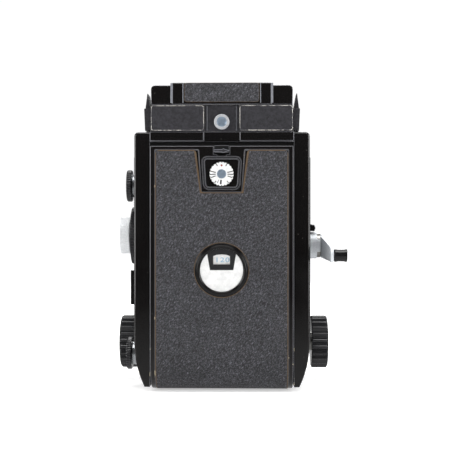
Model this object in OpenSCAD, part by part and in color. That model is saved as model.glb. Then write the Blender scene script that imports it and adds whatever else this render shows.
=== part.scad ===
// Twin lens reflex camera for 6x6 cm roll film, with a folding waist-level hood and a bellows focus.
// X points to the photographer's right, +Y along the lenses and +Z up.
// The origin is the mouth of the tripod socket in the base.

/* [Body] */
// Width over the two side covers
body_w = 96; // [92:1:104]
// Height of the side covers above the base
body_h = 141.8; // [139:0.2:150]
// Distance from the leather of the back to the tripod socket
back_depth = 57; // [56:0.5:60]
// Distance from the tripod socket to the front face of the body
front_depth = 19; // [19:0.5:24]
// Wall of the sheet side covers
cover_t = 1.6; // [1.2:0.1:2.0]
// How far each side cover tapers in at its foot
foot_taper = 5.7; // [3:0.1:6]
// Height of that taper
foot_taper_h = 25; // [18:1:32]
// Thickness of the base plate
base_t = 2; // [1.6:0.1:2.4]

/* [Back door] */
// Width of the hinged back
door_w = 77.6; // [77:0.2:80]
// Radius of the curve under the lower film chamber
door_curve_r = 18; // [17:0.5:20]
// Thickness of the back's sheet
door_t = 2.6; // [2.2:0.1:3]
// Thickness of the leatherette
leather_t = 0.8; // [0.5:0.1:1]
// Radius of the hinge pin
hinge_pin_r = 0.9; // [0.8:0.05:1]
// Outer radius of the film window's ring
window_r = 14.6; // [13.5:0.1:16]
// Radius of the film reminder dial
memo_r = 6.5; // [5:0.1:7]

/* [Film path] */
// Side of the square film gate
gate = 56; // [54:1:56]
// Distance from the top of the body down to the viewing lens
viewing_drop = 25.8; // [25:0.1:27]
// Distance between the two lens axes
lens_gap = 50; // [50:0.5:52]
// Distance between the film spool axes
spool_gap = 94; // [94:0.5:95]
// Radius of the film chambers
chamber_r = 13; // [12.8:0.1:13.2]
// Length of a film spool
spool_len = 66.2; // [65:0.1:66.6]

/* [Focusing] */
// Radius of the focusing knobs
focus_knob_r = 15.5; // [13:0.5:17]
// Length of the focusing knobs
focus_knob_len = 9.8; // [8:0.1:12]
// Gap between the side covers and the focusing knobs
focus_knob_gap = 3.4; // [2.5:0.1:6]
// Radius of the focusing shaft
focus_shaft_r = 3; // [2.5:0.1:3.2]
// Travel of the lens standard
focus_travel = 52; // [40:1:52]
// Gear module of the focusing pinions and racks
focus_module = 1; // [1:0.1:1]

/* [Film advance] */
// Length of the crank arm between its axes
crank_len = 26.5; // [22:0.5:30]
// Gear module of the film advance gears
wind_module = 1.2; // [1.2:0.1:1.2]

/* [Lenses] */
// Outer radius of the lens barrels
barrel_r = 23.5; // [20:0.5:23.5]
// Distance from the lens board to the front of the taking lens
lens_len = 29; // [27:0.5:34]

/* [Finder] */
// Width of the finder
finder_w = 77.2; // [74:0.2:77.4]
// Height of the finder base above the body
finder_h = 14.6; // [14:0.2:18]
// Height of the hood lid
hood_h = 12.1; // [11:0.1:16]

/* [Tripod] */
// Radius of the tripod thread
tripod_r = 3.175; // [3.175:0.001:4.8]
// Depth of the tripod thread
tripod_depth = 7.5; // [6:0.5:8]

/* [Hidden] */
$fn = 64;

// Clearances
run = 0.05;    // a shaft in its bearing, radially
slip = 0.1;    // pieces of one body that stand side by side
gap = 0.4;     // moving pieces that pass each other
far = 1;       // how far a cutter runs past what it cuts

// Depths, as places along Y
back_y = -back_depth;
front_y = front_depth;
viewing_z = body_h - viewing_drop;
taking_z = viewing_z - lens_gap;
curve_y = back_y + door_curve_r;
door_lift = 0.2;                       // the back stays this far above the surface
door_face = 0.2;                       // its border lies this far below the leather
door_flange = 6.3;                     // depth of its side and top flanges
flange_t = 1.7;
door_half = door_w / 2;
case_half = door_half + gap;           // half the width of the main casting
cheek_half = door_half - flange_t - gap;
case_inset = door_flange + 0.9;        // from the leather to the rear of the casting
case_rear = back_y + case_inset;
case_top = body_h - 5.5;
door_top = case_top - 2.5;
film_y = back_y + 10;
rail_y = film_y - 2.8;
spool_y = film_y + chamber_r;
low_z = taking_z - spool_gap / 2;
high_z = taking_z + spool_gap / 2;
chamber_half = spool_len / 2 + gap;
box_half = gate / 2 + 0.5;

// Hinge of the back
hinge_y = curve_y + 3;
hinge_r = 1.9;
hinge_z = hinge_r + door_lift;
knuckle_x = [8, 23, 36];               // ends of the inner and outer knuckles

// Bellows recess in the front of the casting
recess_half = 34;
recess_y = front_y - 14;
recess_low = 37;
recess_high = case_top - 1.3;
bellows_gap = 1;
bellows_t = 4;

// Mirror: its seat is the line z = mirror_sum - y
mirror_sum = viewing_z - 11;
mirror_t = 1.5;
mirror_half = 29;
mirror_low = viewing_z - 15;

// Top deck and finder
deck_rear = back_y + 3.5;
deck_top = body_h;
hood_seam = deck_top + finder_h;
hood_top = hood_seam + hood_h;
screen_z = deck_top - 2.3;
screen_t = 1.5;
screen_half = 28.5;
screen_rear = -31;
screen_front = front_y - 3;
finder_half = finder_w / 2;
finder_rear = back_y + 3.5;
finder_front = front_y - 2;
finder_wall = 2.2;
finder_floor = 2;
lid_hinge_y = finder_front - 0.5;
lid_hinge_z = hood_seam + 1.1;
lid_t = 1.2;
flap_t = 0.8;
side_hinge_x = finder_half - finder_wall - 1.4;
side_hinge_z = deck_top + 8.2;
rear_hinge_y = finder_rear + finder_wall + 2.3;
rear_hinge_z = side_hinge_z + 2.6;
rear_flap_len = 31;
rear_flap_half = 30;
side_flap_y = [rear_hinge_y + 1.5, finder_front - finder_wall - 1.5];
flap_pin_r = 0.6;
lid_lug_x = [finder_half - 5.6, finder_half - 2.2];
button_z = deck_top + 5.2;
button_r = 4.2;

// Side covers
cover_rear = back_y + 5;
cover_low = 2.5;
cover_half = body_w / 2;
cover_corner = 2.4;
taper_r = (foot_taper_h * foot_taper_h + foot_taper * foot_taper) / (2 * foot_taper);
taper_z = cover_low + foot_taper_h;
side_leather_t = 0.5;

// Left controls
knob_r = 8.9;
knob_out = cover_half + 5.5;
knob_neck = cover_half + 2.3;
knob_neck_r = 5;
spool_pin_r = 2.4;
shaft_r = 3;
knob_travel = 6;
lock_y = -17;
lock_z = 85;
lock_r = 16.3;
lock_out = cover_half + 5;
selector_r = 10.5;
selector_out = lock_out + 6.1;
lock_shaft_r = 4;
baffle_y = 2;
baffle_z = taking_z - 25.8;
baffle_len = 47;
baffle_pin_r = 1;

// Film advance on the right
wind_teeth = [35, 22];                 // crank gear, take-up gear
wind_dist = wind_module * (wind_teeth[0] + wind_teeth[1]) / 2;
crank_y = back_y + 5 + cover_t + wind_module * (wind_teeth[0] / 2 + 0.8) + 1.44;
crank_z = high_z - sqrt(wind_dist * wind_dist - (crank_y - spool_y) * (crank_y - spool_y));
gear_x = [case_half + 2.6, case_half + 5.4];
crank_hub_r = 6.8;
crank_boss_r = 7.5;
crank_tilt = 11;                       // the arm points back and this far below level
crank_lift = 4;                        // how far the arm slants outwards
tip_y = crank_y - crank_len * cos(crank_tilt);
tip_z = crank_z - crank_len * sin(crank_tilt);
wind_angle = atan2(high_z - crank_z, spool_y - crank_y);
handle_len = 7.2;
handle_r = 3.6;
counter_z = crank_z + 16.2;
counter_r = 8;
counter_pin_r = 1.5;
roller_r = 2.4;
roller_y = rail_y + roller_r;
roller_dz = gate / 2 + 3.6;

// Shutter release
release_x = 29;
release_z = 13;
release_r = 4.2;
release_travel = 3;

// Focusing
focus_y = front_y - 13;
focus_z = 21.7;
pinion_teeth = 13;
pinion_r = focus_module * pinion_teeth / 2;
rack_x = [case_half + 1.6, case_half + 4.9];
rack_pitch_z = focus_z + pinion_r;
rack_top = rack_pitch_z + 5.6;
rack_rear = cover_rear + cover_t + 0.4;
focus_boss_r = 5.5;

// Lens standard and lens unit, at infinity
standard_y = front_y + 1;
standard_t = 5;
standard_half = 36;
standard_low = 24;
standard_top = body_h - 0.3;
board_y = standard_y + standard_t;
board_t = 3;
board_half = 33;
board_low = taking_z - 27;
board_high = body_h - 0.8;
board_front = board_y + board_t;
lens_front = board_front + lens_len;
rear_tube_r = 13;
glass_r = barrel_r - 7.5;
core_r = barrel_r - 4.5;                           // tube inside the shutter's rings
wire_r = 0.8;
wire_z = standard_low + 8;
wire_bar_z = board_low + 2;
wire_x = board_half + 1.7;
wire_y = board_front + 1.4;

// ---------- shared shapes ----------
module block(x, y, z) translate([x[0], y[0], z[0]]) cube([x[1] - x[0], y[1] - y[0], z[1] - z[0]]);
module rod_x(r, x, y, z) translate([x[0], y, z]) rotate([0, 90, 0]) cylinder(r = r, h = x[1] - x[0]);
module rod_y(r, y, x, z) translate([x, y[0], z]) rotate([-90, 0, 0]) cylinder(r = r, h = y[1] - y[0]);
module rod_z(r, z, x, y) translate([x, y, z[0]]) cylinder(r = r, h = z[1] - z[0]);
module cone_y(r, y, x, z) translate([x, y[0], z]) rotate([-90, 0, 0]) cylinder(r1 = r[0], r2 = r[1], h = y[1] - y[0]);
module along_x(x) translate([x[0], 0, 0]) rotate([90, 0, 90]) linear_extrude(x[1] - x[0]) children();
module along_y(y) translate([0, y[1], 0]) rotate([90, 0, 0]) linear_extrude(y[1] - y[0]) children();
module both_sides() {
    children();
    mirror([1, 0, 0]) children();
}
module round_rect(x, z, r) {
    translate([x[0] + r, z[0]]) square([x[1] - x[0] - 2 * r, z[1] - z[0]]);
    translate([x[0], z[0] + r]) square([x[1] - x[0], z[1] - z[0] - 2 * r]);
    for (u = [x[0] + r, x[1] - r], v = [z[0] + r, z[1] - r]) translate([u, v]) circle(r = r);
}
module ring_y(outer, inner, y, x, z) {
    difference() {
        rod_y(outer, y, x, z);
        rod_y(inner, [y[0] - far, y[1] + far], x, z);
    }
}

// Straight-sided gear teeth, thinned so that they run free
tooth_share = 0.4;
addendum = 0.8;
dedendum = 1.15;
flank = 0.36;
function on_circle(r, a) = [r * cos(a), r * sin(a)];
function gear_points(m, n, turn) = let (
    p = m * n / 2,
    half = tooth_share * 3.1416 * m / 2,
    tip = (half - flank * addendum * m) / (p + addendum * m) * 57.2958,
    root = (half + flank * dedendum * m) / (p - dedendum * m) * 57.2958
) [for (i = [0:n - 1], c = [[-root, -dedendum], [-tip, addendum], [tip, addendum], [root, -dedendum]])
    on_circle(p + c[1] * m, turn + i * 360 / n + c[0])];
module gear_x_at(m, n, turn, x, y, z) translate([0, y, z]) along_x(x) polygon(gear_points(m, n, turn));

// Outline of the closed back seen from the side, moved inwards by inset
module back_profile(inset) {
    translate([curve_y, door_curve_r + door_lift]) circle(r = door_curve_r - inset);
    translate([curve_y, inset + door_lift]) square([front_y - curve_y, door_top - inset - door_lift]);
    translate([back_y + inset, door_curve_r + door_lift])
        square([door_curve_r - inset, door_top - door_curve_r - door_lift]);
}
// Outline of the right side cover seen from the back, moved inwards by inset
module cover_profile(inset) {
    r = cover_corner;
    x1 = cover_half - inset;
    top = body_h - inset;
    translate([case_half, taper_z]) square([x1 - case_half, top - r - taper_z]);
    translate([case_half, top - r - far]) square([x1 - r - case_half, r + far]);
    translate([x1 - r, top - r]) circle(r = r);
    intersection() {
        translate([case_half, cover_low + max(inset, 0)])
            square([x1 - case_half, taper_z - cover_low - max(inset, 0)]);
        translate([cover_half - taper_r, taper_z]) circle(r = taper_r - inset, $fn = 180);
    }
}

// ---------- body ----------
module film_chambers() {
    for (z = [low_z, high_z]) {
        rod_x(chamber_r, [-chamber_half, chamber_half], spool_y, z);
        block([-chamber_half, chamber_half], [back_y, spool_y], [z - chamber_r, z + chamber_r]);
    }
    block([-chamber_half, chamber_half], [back_y, film_y], [low_z, high_z]);
}
module main_casting() {
    color("#2b2b2d") difference() {
        union() {
            along_x([-case_half, case_half]) intersection() {
                translate([case_rear, base_t]) square([front_y - case_rear, case_top - base_t]);
                union() {
                    back_profile(case_inset);
                    translate([case_rear, 60]) square([front_y - case_rear, case_top - 60]);
                }
            }
            along_x([-cheek_half, cheek_half]) intersection() {
                translate([case_rear, base_t]) square([spool_y - case_rear, 60]);
                back_profile(door_t + 0.6);
            }
            along_x([-case_half, case_half])
                translate([hinge_y + hinge_r + 0.8, base_t]) square([front_y - hinge_y - hinge_r - 0.8, 8]);
        }
        block([-case_half - far, case_half + far], [back_y, hinge_y + hinge_r + 0.8], [0, hinge_z + hinge_r + 0.4]);
        film_chambers();
        rod_y(gate / 2 + 9.6, [back_y, film_y], 0, window_z);
        // light box behind the taking lens
        block([-box_half, box_half], [film_y - far, recess_y + far], [taking_z - gate / 2, taking_z + gate / 2]);
        // mirror chamber behind the viewing lens
        along_x([-mirror_half, mirror_half]) polygon([[recess_y + far, mirror_low], [mirror_sum - mirror_low, mirror_low],
            [mirror_sum - case_top - far, case_top + far], [recess_y + far, case_top + far]]);
        block([-recess_half, recess_half], [recess_y, front_y + far], [recess_low, recess_high]);
        block([-mirror_half, mirror_half], [recess_y, front_y - 3], [viewing_z, case_top + far]);
        // space for the focusing shaft and the tripod boss
        block([-recess_half, recess_half], [spool_y + chamber_r + 3, front_y - 7], [0, recess_low - 3]);
        rod_x(focus_shaft_r + run, [-case_half - far, case_half + far], focus_y, focus_z);
        // lightening pockets behind the side covers
        both_sides() block([box_half + 3, case_half + far], [spool_y + chamber_r + 4, recess_y - 2], [42, 128]);
        // bearings of the spool pins, the film advance, the rollers and the baffle
        rod_x(shaft_r + run, [-case_half - far, -chamber_half + far], spool_y, high_z);
        rod_x(shaft_r + run, [-case_half - far, -chamber_half + far], spool_y, low_z);
        rod_x(shaft_r + run, [chamber_half - far, case_half + far], spool_y, high_z);
        rod_x(shaft_r + run, [case_half - 2.4, case_half + far], crank_y, crank_z);
        for (s = [-1, 1]) {
            rod_x(roller_r + 0.3, [-chamber_half, chamber_half], roller_y, taking_z + s * roller_dz);
            block([-chamber_half, chamber_half], [back_y, roller_y],
                [taking_z + s * roller_dz - roller_r - 0.3, taking_z + s * roller_dz + roller_r + 0.3]);
            rod_x(1.2 + run, [-chamber_half - 1.6, chamber_half + 1.6], roller_y, taking_z + s * roller_dz);
        }
        rod_x(baffle_pin_r + run, [-box_half - 2.2, box_half + 2.2], baffle_y, baffle_z);
        // shutter release through the front wall
        rod_y(shaft_r + run, [0, front_y + far], release_x, release_z);
        rod_y(release_r + 0.3, [front_y - release_travel - 0.2, front_y + far], release_x, release_z);
        screw_holes();
    }
    // rails beside the gate that the film slides on
    color("silver") both_sides() block([box_half + 0.6, box_half + 2.2], [rail_y, film_y], [taking_z - gate / 2 - 1, taking_z + gate / 2 + 1]);
    // fixed pin for the lower spool's right end
    color("silver") rod_x(spool_pin_r, [chamber_half - 3, chamber_half], spool_y, low_z);
}
base_screw_at = [[-32, -25], [32, -25], [-32, 14], [32, 14]];
cover_screw_z = [48, body_h - 17.8];
module screw_holes() {
    for (p = base_screw_at) rod_z(1 + run, [0, 9], p[0], p[1]);
}
module body_fasteners() {
    color("silver") {
        rod_x(hinge_pin_r, [-knuckle_x[2] + 0.3, knuckle_x[2] - 0.3], hinge_y, hinge_z);
        for (p = base_screw_at) {
            rod_z(1.9, [0.15, 1.2], p[0], p[1]);
            rod_z(1, [1.2, 8.5], p[0], p[1]);
        }
        for (s = [-1, 1], z = cover_screw_z) {
            rod_y(1.9, [front_y, front_y + 0.6], s * (case_half + 5), z);
            rod_y(1, [front_y - 4, front_y], s * (case_half + 5), z);
        }
    }
}
module base_plate() {
    front_edge = hinge_y + hinge_r + 0.6;
    color("#1c1c1e") difference() {
        union() {
            block([-case_half, case_half], [front_edge, front_y], [0, base_t]);
            rod_z(7, [0, tripod_depth + 1.5], 0, 0);
            both_sides() {
                rod_x(hinge_r, [knuckle_x[0], knuckle_x[1] - slip], hinge_y, hinge_z);
                block([knuckle_x[0], knuckle_x[1] - slip], [hinge_y, front_edge + far], [hinge_z - hinge_r, base_t]);
            }
        }
        rod_z(tripod_r, [-far, tripod_depth], 0, 0);
        rod_x(hinge_pin_r + run, [-knuckle_x[1] - far, knuckle_x[1] + far], hinge_y, hinge_z);
        for (p = base_screw_at) {
            rod_z(1 + run, [0, base_t + far], p[0], p[1]);
            rod_z(1.9 + run, [-far, 1.2], p[0], p[1]);
        }
    }
}

module side_cover_shell() {
    difference() {
        along_y([cover_rear, front_y]) cover_profile(0);
        along_y([cover_rear + cover_t, front_y - cover_t]) intersection() {
            cover_profile(cover_t);
            translate([case_half, 0]) square([cover_half, body_h]);
        }
        block([case_half - far, case_half + 0.01], [cover_rear + cover_t, front_y - cover_t], [cover_low + cover_t, body_h - cover_t]);
        // focusing boss, and the rack's way out through the front
        rod_x(focus_boss_r + 0.3, [case_half + 4, cover_half + far], focus_y, focus_z);
        block([rack_x[0] - 0.3, rack_x[1] + 0.3], [front_y - 3, front_y + far], [rack_pitch_z - 1.4, rack_top + 0.3]);
        for (z = cover_screw_z) rod_y(1 + run, [front_y - 3, front_y + far], case_half + 5, z);
    }
}
module left_side_cover() {
    color("#161617") difference() {
        mirror([1, 0, 0]) side_cover_shell();
        for (z = [low_z, high_z]) rod_x(knob_neck_r + 0.2, [-cover_half - far, -cover_half + 3], spool_y, z);
        rod_x(lock_shaft_r + run, [-cover_half - far, -cover_half + 3], lock_y, lock_z);
    }
}
module right_side_cover() {
    color("#161617") {
        difference() {
            side_cover_shell();
            rod_x(4 + run, [cover_half - 3, cover_half + far], crank_y, crank_z);
            block([cover_half - 3, cover_half + far], [crank_y - 2.6, crank_y + 2.6], [counter_z - 7.6, counter_z - 4.4]);
        }
        rod_x(counter_pin_r, [gear_x[1] + 0.3, cover_half - cover_t], crank_y, counter_z);
    }
}
leather_y = [cover_rear + 5, front_y - 6];
leather_z = [taper_z + 0.5, body_h - 13.8];
module side_leathers() {
    color("#3a3a3d") difference() {
        both_sides() block([cover_half, cover_half + side_leather_t], leather_y, leather_z);
        for (s = [-1, 1]) rod_x(focus_boss_r + 1.5, s < 0 ? [-cover_half - 2, 0] : [0, cover_half + 2], focus_y, focus_z);
        for (z = [low_z, high_z]) rod_x(knob_neck_r + 1.8, [-cover_half - 2, 0], spool_y, z);
        rod_x(lock_r + 0.8, [-cover_half - 2, 0], lock_y, lock_z);
        rod_x(crank_boss_r + 1.2, [0, cover_half + 2], crank_y, crank_z);
        block([0, cover_half + 2], [crank_y - 5.4, crank_y + 5.4], [counter_z - 9, counter_z - 3]);
        block([-cover_half - 2, 0], [shoe_y[0] - 0.5, shoe_y[1] + 0.5], [shoe_z[0] - 0.5, shoe_z[1] + 0.5]);
    }
}
shoe_y = [-45, -24.5];
shoe_z = [low_z + 28, low_z + 47];
shoe_slot = 1.7;
// Accessory shoe on the left side: a plate and two low lips
module flash_shoe() {
    lip = 0.9;
    color("#1a1a1b") {
        block([-cover_half - 0.5, -cover_half], shoe_y, shoe_z);
        for (y = [[shoe_y[0], shoe_y[0] + 1], [shoe_y[1] - 1, shoe_y[1]]])
            block([-cover_half - shoe_slot, -cover_half - 0.5], y, shoe_z);
        for (y = [[shoe_y[0], shoe_y[0] + 3.2], [shoe_y[1] - 3.2, shoe_y[1]]])
            block([-cover_half - shoe_slot - lip, -cover_half - shoe_slot], y, shoe_z);
    }
}
// Hooded window of the frame counter, above the crank
module counter_housing() {
    half = 4.5;
    z = [counter_z - 8.1, counter_z - 3.8];
    color("#121213") difference() {
        along_y([crank_y - half, crank_y + half])
            polygon([[cover_half, z[0]], [cover_half + 3.6, z[0] - 0.2], [cover_half + 4.3, z[0] + 1.6],
                [cover_half + 3.8, z[1] - 1], [cover_half, z[1]]]);
        block([cover_half - far, cover_half + 6], [crank_y - 2.6, crank_y + 2.6], [counter_z - 7.4, counter_z - 4.9]);
    }
}

module top_deck() {
    step = 9.9;
    color("#141415") difference() {
        union() {
            block([-case_half, case_half], [deck_rear + 1.2, front_y], [case_top, deck_top]);
            both_sides() block([step, case_half], [deck_rear, deck_rear + 2], [case_top + 0.5, deck_top]);
        }
        block([-screen_half + 1, screen_half - 1], [screen_rear + 1, screen_front - 1], [0, deck_top + far]);
        block([-screen_half - slip, screen_half + slip], [screen_rear - slip, screen_front + slip], [screen_z - screen_t, deck_top + far]);
    }
}
module reflex_mirror() {
    low_y = mirror_sum - mirror_low;
    high_y = mirror_sum - case_top + 1;
    d = mirror_t * sqrt(2);
    color("gainsboro") along_x([-mirror_half + 0.2, mirror_half - 0.2])
        polygon([[low_y, mirror_low], [high_y, mirror_sum - high_y], [high_y + d, mirror_sum - high_y], [low_y + d, mirror_low]]);
}
module focusing_screen() {
    color("#dfe3e0") block([-screen_half, screen_half], [screen_rear, screen_front], [screen_z - screen_t, screen_z]);
}

// ---------- finder ----------
module finder_base() {
    plate_x = 9.6;
    color("#29292b") {
        difference() {
            union() {
                block([-finder_half, finder_half], [finder_rear + 1, finder_front], [deck_top, hood_seam]);
                both_sides() block([plate_x, finder_half], [finder_rear, finder_rear + 2], [deck_top + 0.6, hood_seam - 0.3]);
            }
            block([-finder_half + finder_wall, finder_half - finder_wall],
                [finder_rear + 1 + finder_wall, finder_front - finder_wall], [deck_top + finder_floor, hood_seam + far]);
            block([-screen_half + 1, screen_half - 1], [screen_rear + 1, screen_front - 1], [0, hood_seam]);
            // bore of the finder button
            rod_y(button_r - 1.2 + run, [back_y, finder_rear + 6], 0, button_z);
            // clearance for the lid's hinge
            rod_x(1.9, [-finder_half - far, finder_half + far], lid_hinge_y, lid_hinge_z);
        }
        both_sides() {
            side_ear();
            // pins of the rear flap, the side flaps and the lid
            rod_x(flap_pin_r, [rear_flap_half - 1.5, finder_half - 1], rear_hinge_y, rear_hinge_z);
            rod_y(flap_pin_r, [finder_rear + 2, side_flap_y[0] + 1.5], side_hinge_x, side_hinge_z);
            rod_y(flap_pin_r, [side_flap_y[1] - 1.5, finder_front - 1], side_hinge_x, side_hinge_z);
            rod_x(1.3, lid_lug_x, lid_hinge_y, lid_hinge_z);
            block(lid_lug_x, [finder_front - finder_wall + 0.1, finder_front - 0.2], [hood_seam - 4, lid_hinge_z - 0.5]);
            rod_x(flap_pin_r, [lid_lug_x[1], finder_half - 0.4], lid_hinge_y, lid_hinge_z);
        }
    }
}
// Finger tab on each side of the finder, wedge-shaped at its top
module side_ear() {
    top = hood_seam + 7;
    color("#1b1b1d") {
        along_y([finder_rear + 4, finder_rear + 26])
            polygon([[finder_half, deck_top + 1], [finder_half + 3.6, deck_top + 1], [finder_half + 4.1, hood_seam - 1.6],
                [finder_half, hood_seam - 1.6]]);
        along_y([finder_rear + 8, finder_rear + 22])
            polygon([[finder_half + 0.7, hood_seam - 1.6], [finder_half + 3.8, hood_seam - 1.6], [finder_half + 2.7, top], [finder_half + 2.3, top]]);
    }
}
module finder_button() {
    color("silver") {
        rod_y(button_r, [finder_rear - 2.4, finder_rear - 1.2], 0, button_z);
        rod_y(button_r - 1.2, [finder_rear - 1.2, finder_rear + 1 + finder_wall - 0.4], 0, button_z);
    }
}
module hood_lid() {
    raised = 27;
    low_top = hood_top - 1.4;
    color("#19191a") difference() {
        union() {
            along_y([finder_rear + 0.4, lid_hinge_y + 1]) {
                translate([-finder_half, hood_seam + 0.1]) square([finder_w, low_top - 3 - hood_seam]);
                round_rect([-finder_half, finder_half], [hood_seam + 2, low_top], 2.2);
            }
            block([-raised, raised], [finder_rear - 0.3, lid_hinge_y], [hood_seam + 0.1, hood_top]);
        }
        block([-finder_half + lid_t, finder_half - lid_t], [finder_rear + 0.4 + lid_t, lid_hinge_y + 1 - lid_t], [hood_seam - far, low_top - lid_t]);
        // room for the hinge lugs, and the bores of the hinge pins
        both_sides() {
            block([lid_lug_x[0] - 0.4, lid_lug_x[1] + 0.2], [lid_hinge_y - 2.4, lid_hinge_y + 3], [hood_seam - far, lid_hinge_z + 2.2]);
            rod_x(flap_pin_r + run, [lid_lug_x[1], finder_half + far], lid_hinge_y, lid_hinge_z);
        }
    }
}
module magnifier_holder() {
    z = [hood_seam + 4.6, hood_seam + 7.4];
    y = finder_rear + 27;
    color("#222224") {
        difference() {
            union() {
                rod_z(17, z, 0, y);
                block([-7, 7], [finder_rear + 4, y], z);
                block([-7, 7], [finder_rear + 2, finder_rear + 6], [z[0], hood_top - 1.4 - lid_t]);
            }
            rod_z(14.6, [z[0] - far, z[1] + far], 0, y);
        }
        difference() {
            rod_z(14.6, z, 0, y);
            rod_z(14, [z[0] - far, z[1] + far], 0, y);
        }
    }
}
module magnifier_lens() {
    z = [hood_seam + 5, hood_seam + 7];
    color("lightblue", 0.5) rod_z(14 - slip, z, 0, finder_rear + 27);
}
// Folded side flap: cut back at both ends so that it clears the rear flap and the lid
module side_flap() {
    reach = side_hinge_x - 1.2;
    y0 = side_flap_y[0];
    y1 = side_flap_y[1];
    color("#1f1f21") translate([side_hinge_x, 0, side_hinge_z]) difference() {
        union() {
            translate([0, 0, -flap_t / 2]) linear_extrude(flap_t)
                polygon([[0, y0], [-2.6, y0], [-reach, y0 + reach - 3], [-reach, y1 - 12], [-19, y1 - 2], [-19, y1], [0, y1]]);
            rod_y(1.1, [y0, y1], 0, 0);
        }
        rod_y(flap_pin_r + run, [y0 - far, y1 + far], 0, 0);
    }
}
module hood_right_flap() side_flap();
module hood_left_flap() mirror([1, 0, 0]) side_flap();
module hood_rear_flap() {
    half = rear_flap_half;
    color("#1f1f21") translate([0, rear_hinge_y, rear_hinge_z]) difference() {
        union() {
            block([-half, half], [0, rear_flap_len], [-flap_t / 2, flap_t / 2]);
            rod_x(1.1, [-half, half], 0, 0);
        }
        rod_x(flap_pin_r + run, [-half - far, half + far], 0, 0);
    }
}

// ---------- hinged back ----------
notch_top = 13;
notch_low = 11.1;
notch_z = door_top - 25.2;
leather_half = 36;
leather_top = door_top - 2.2;
memo_z = door_top - 15.2;
window_z = taking_z + 0.6;
// Bare metal round the reminder dial, cut out of the leather
module memo_notch(grow) {
    polygon([[-notch_low - grow, notch_z - grow], [notch_low + grow, notch_z - grow],
        [notch_top + grow, leather_top + 5], [-notch_top - grow, leather_top + 5]]);
}
module back_door() {
    face = door_face;
    color("#141415") difference() {
        union() {
            along_x([-door_half, door_half]) intersection() {
                difference() {
                    back_profile(face);
                    back_profile(face + door_t);
                }
                translate([back_y, 0]) square([hinge_y - hinge_r - 0.5 - back_y, door_top]);
            }
            both_sides() along_x([door_half - flange_t, door_half]) intersection() {
                difference() {
                    back_profile(face);
                    back_profile(face + door_flange);
                }
                translate([back_y, 0]) square([hinge_y - hinge_r - 0.5 - back_y, door_top]);
            }
            block([-door_half, door_half], [back_y + 1, back_y + face + door_flange], [door_top - 1.6, door_top]);
            both_sides() {
                rod_x(hinge_r, [knuckle_x[1] + slip, knuckle_x[2]], hinge_y, hinge_z);
                block([knuckle_x[1] + slip, knuckle_x[2]], [hinge_y - hinge_r - 1, hinge_y], [hinge_z - hinge_r, hinge_z - 0.2]);
            }
        }
        // seat of the leather
        difference() {
            along_x([-leather_half - slip, leather_half + slip]) intersection() {
                difference() {
                    back_profile(-far);
                    back_profile(leather_t);
                }
                translate([back_y - far, 0]) square([curve_y - back_y + far, leather_top + slip]);
            }
            along_y([back_y - far, back_y + door_t]) memo_notch(-slip);
        }
        rod_x(hinge_pin_r + run, [-door_half, door_half], hinge_y, hinge_z);
        rod_y(2.5 + run, [back_y, film_y], 0, window_z);
        rod_y(11.8, [back_y - far, back_y + leather_t + 1.3], 0, window_z);
        // slot of the catch
        block([-4.3, 4.3], [back_y - far, back_y + door_flange + far], [door_top - 4.6, door_top + far]);
        block([-2.3, 2.3], [back_y - far, back_y + 4], [door_top - 6, door_top]);
    }
}
module back_leather() {
    color("#404044") difference() {
        along_x([-leather_half, leather_half]) intersection() {
            difference() {
                back_profile(0);
                back_profile(leather_t);
            }
            translate([back_y - far, 0]) square([curve_y - back_y + far, leather_top]);
        }
        along_y([back_y - far, back_y + door_t]) memo_notch(0);
        rod_y(window_r + slip, [back_y - far, back_y + door_t], 0, window_z);
    }
}
// Frame of the reminder dial: tapered, with a flat floor and a rivet for the dial
module memo_outline(w_top, w_low, h) polygon([[-w_low / 2, -h / 2], [w_low / 2, -h / 2], [w_top / 2, h / 2], [-w_top / 2, h / 2]]);
module memo_frame() {
    y = [back_y - 1.1, back_y + door_face];
    color("#101011") translate([0, 0, memo_z + 0.5]) {
        difference() {
            along_y(y) memo_outline(22.2, 20, 18.4);
            along_y([y[0] - far, y[1] - 0.3]) memo_outline(18.2, 16.4, 15);
        }
    }
    color("slategray") {
        rod_y(1.5, [back_y - 1.2, y[1] - 0.3], 0, memo_z);
        rod_y(2.6, [back_y - 1.2, back_y - 0.9], 0, memo_z);
    }
}
module memo_dial() {
    color("white") ring_y(memo_r, 1.5 + run, [back_y - 0.8, back_y - 0.2], 0, memo_z);
}
module window_ring() {
    color("#0f0f10") difference() {
        union() {
            rod_y(window_r, [back_y - 0.5, back_y + leather_t], 0, window_z);
            cone_y([window_r - 0.9, window_r], [back_y - 1, back_y - 0.5], 0, window_z);
        }
        rod_y(11.75, [back_y - 2, back_y + 2], 0, window_z);
    }
}
// White face with the mask's window, in front of the turning film number disc
module window_face() {
    color("gainsboro") difference() {
        rod_y(11.7, [back_y - 0.1, back_y + leather_t], 0, window_z);
        along_y([back_y - far, back_y + 2]) translate([-4.5, window_z + 3.1]) square([9, 5.4]);
    }
}
module format_disc() {
    color("ivory") {
        rod_y(11.3, [back_y + leather_t + 0.3, back_y + leather_t + 0.9], 0, window_z);
        rod_y(2.5, [back_y + leather_t + 0.9, plate_y[0]], 0, window_z);
    }
}
plate_y = [rail_y - 1.6, rail_y - 0.2];
module pressure_plate() {
    color("#1b1b1c") intersection() {
        block([-32, 32], plate_y, [window_z - 32, window_z + 32]);
        rod_y(37, plate_y, 0, window_z);
    }
}
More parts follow.
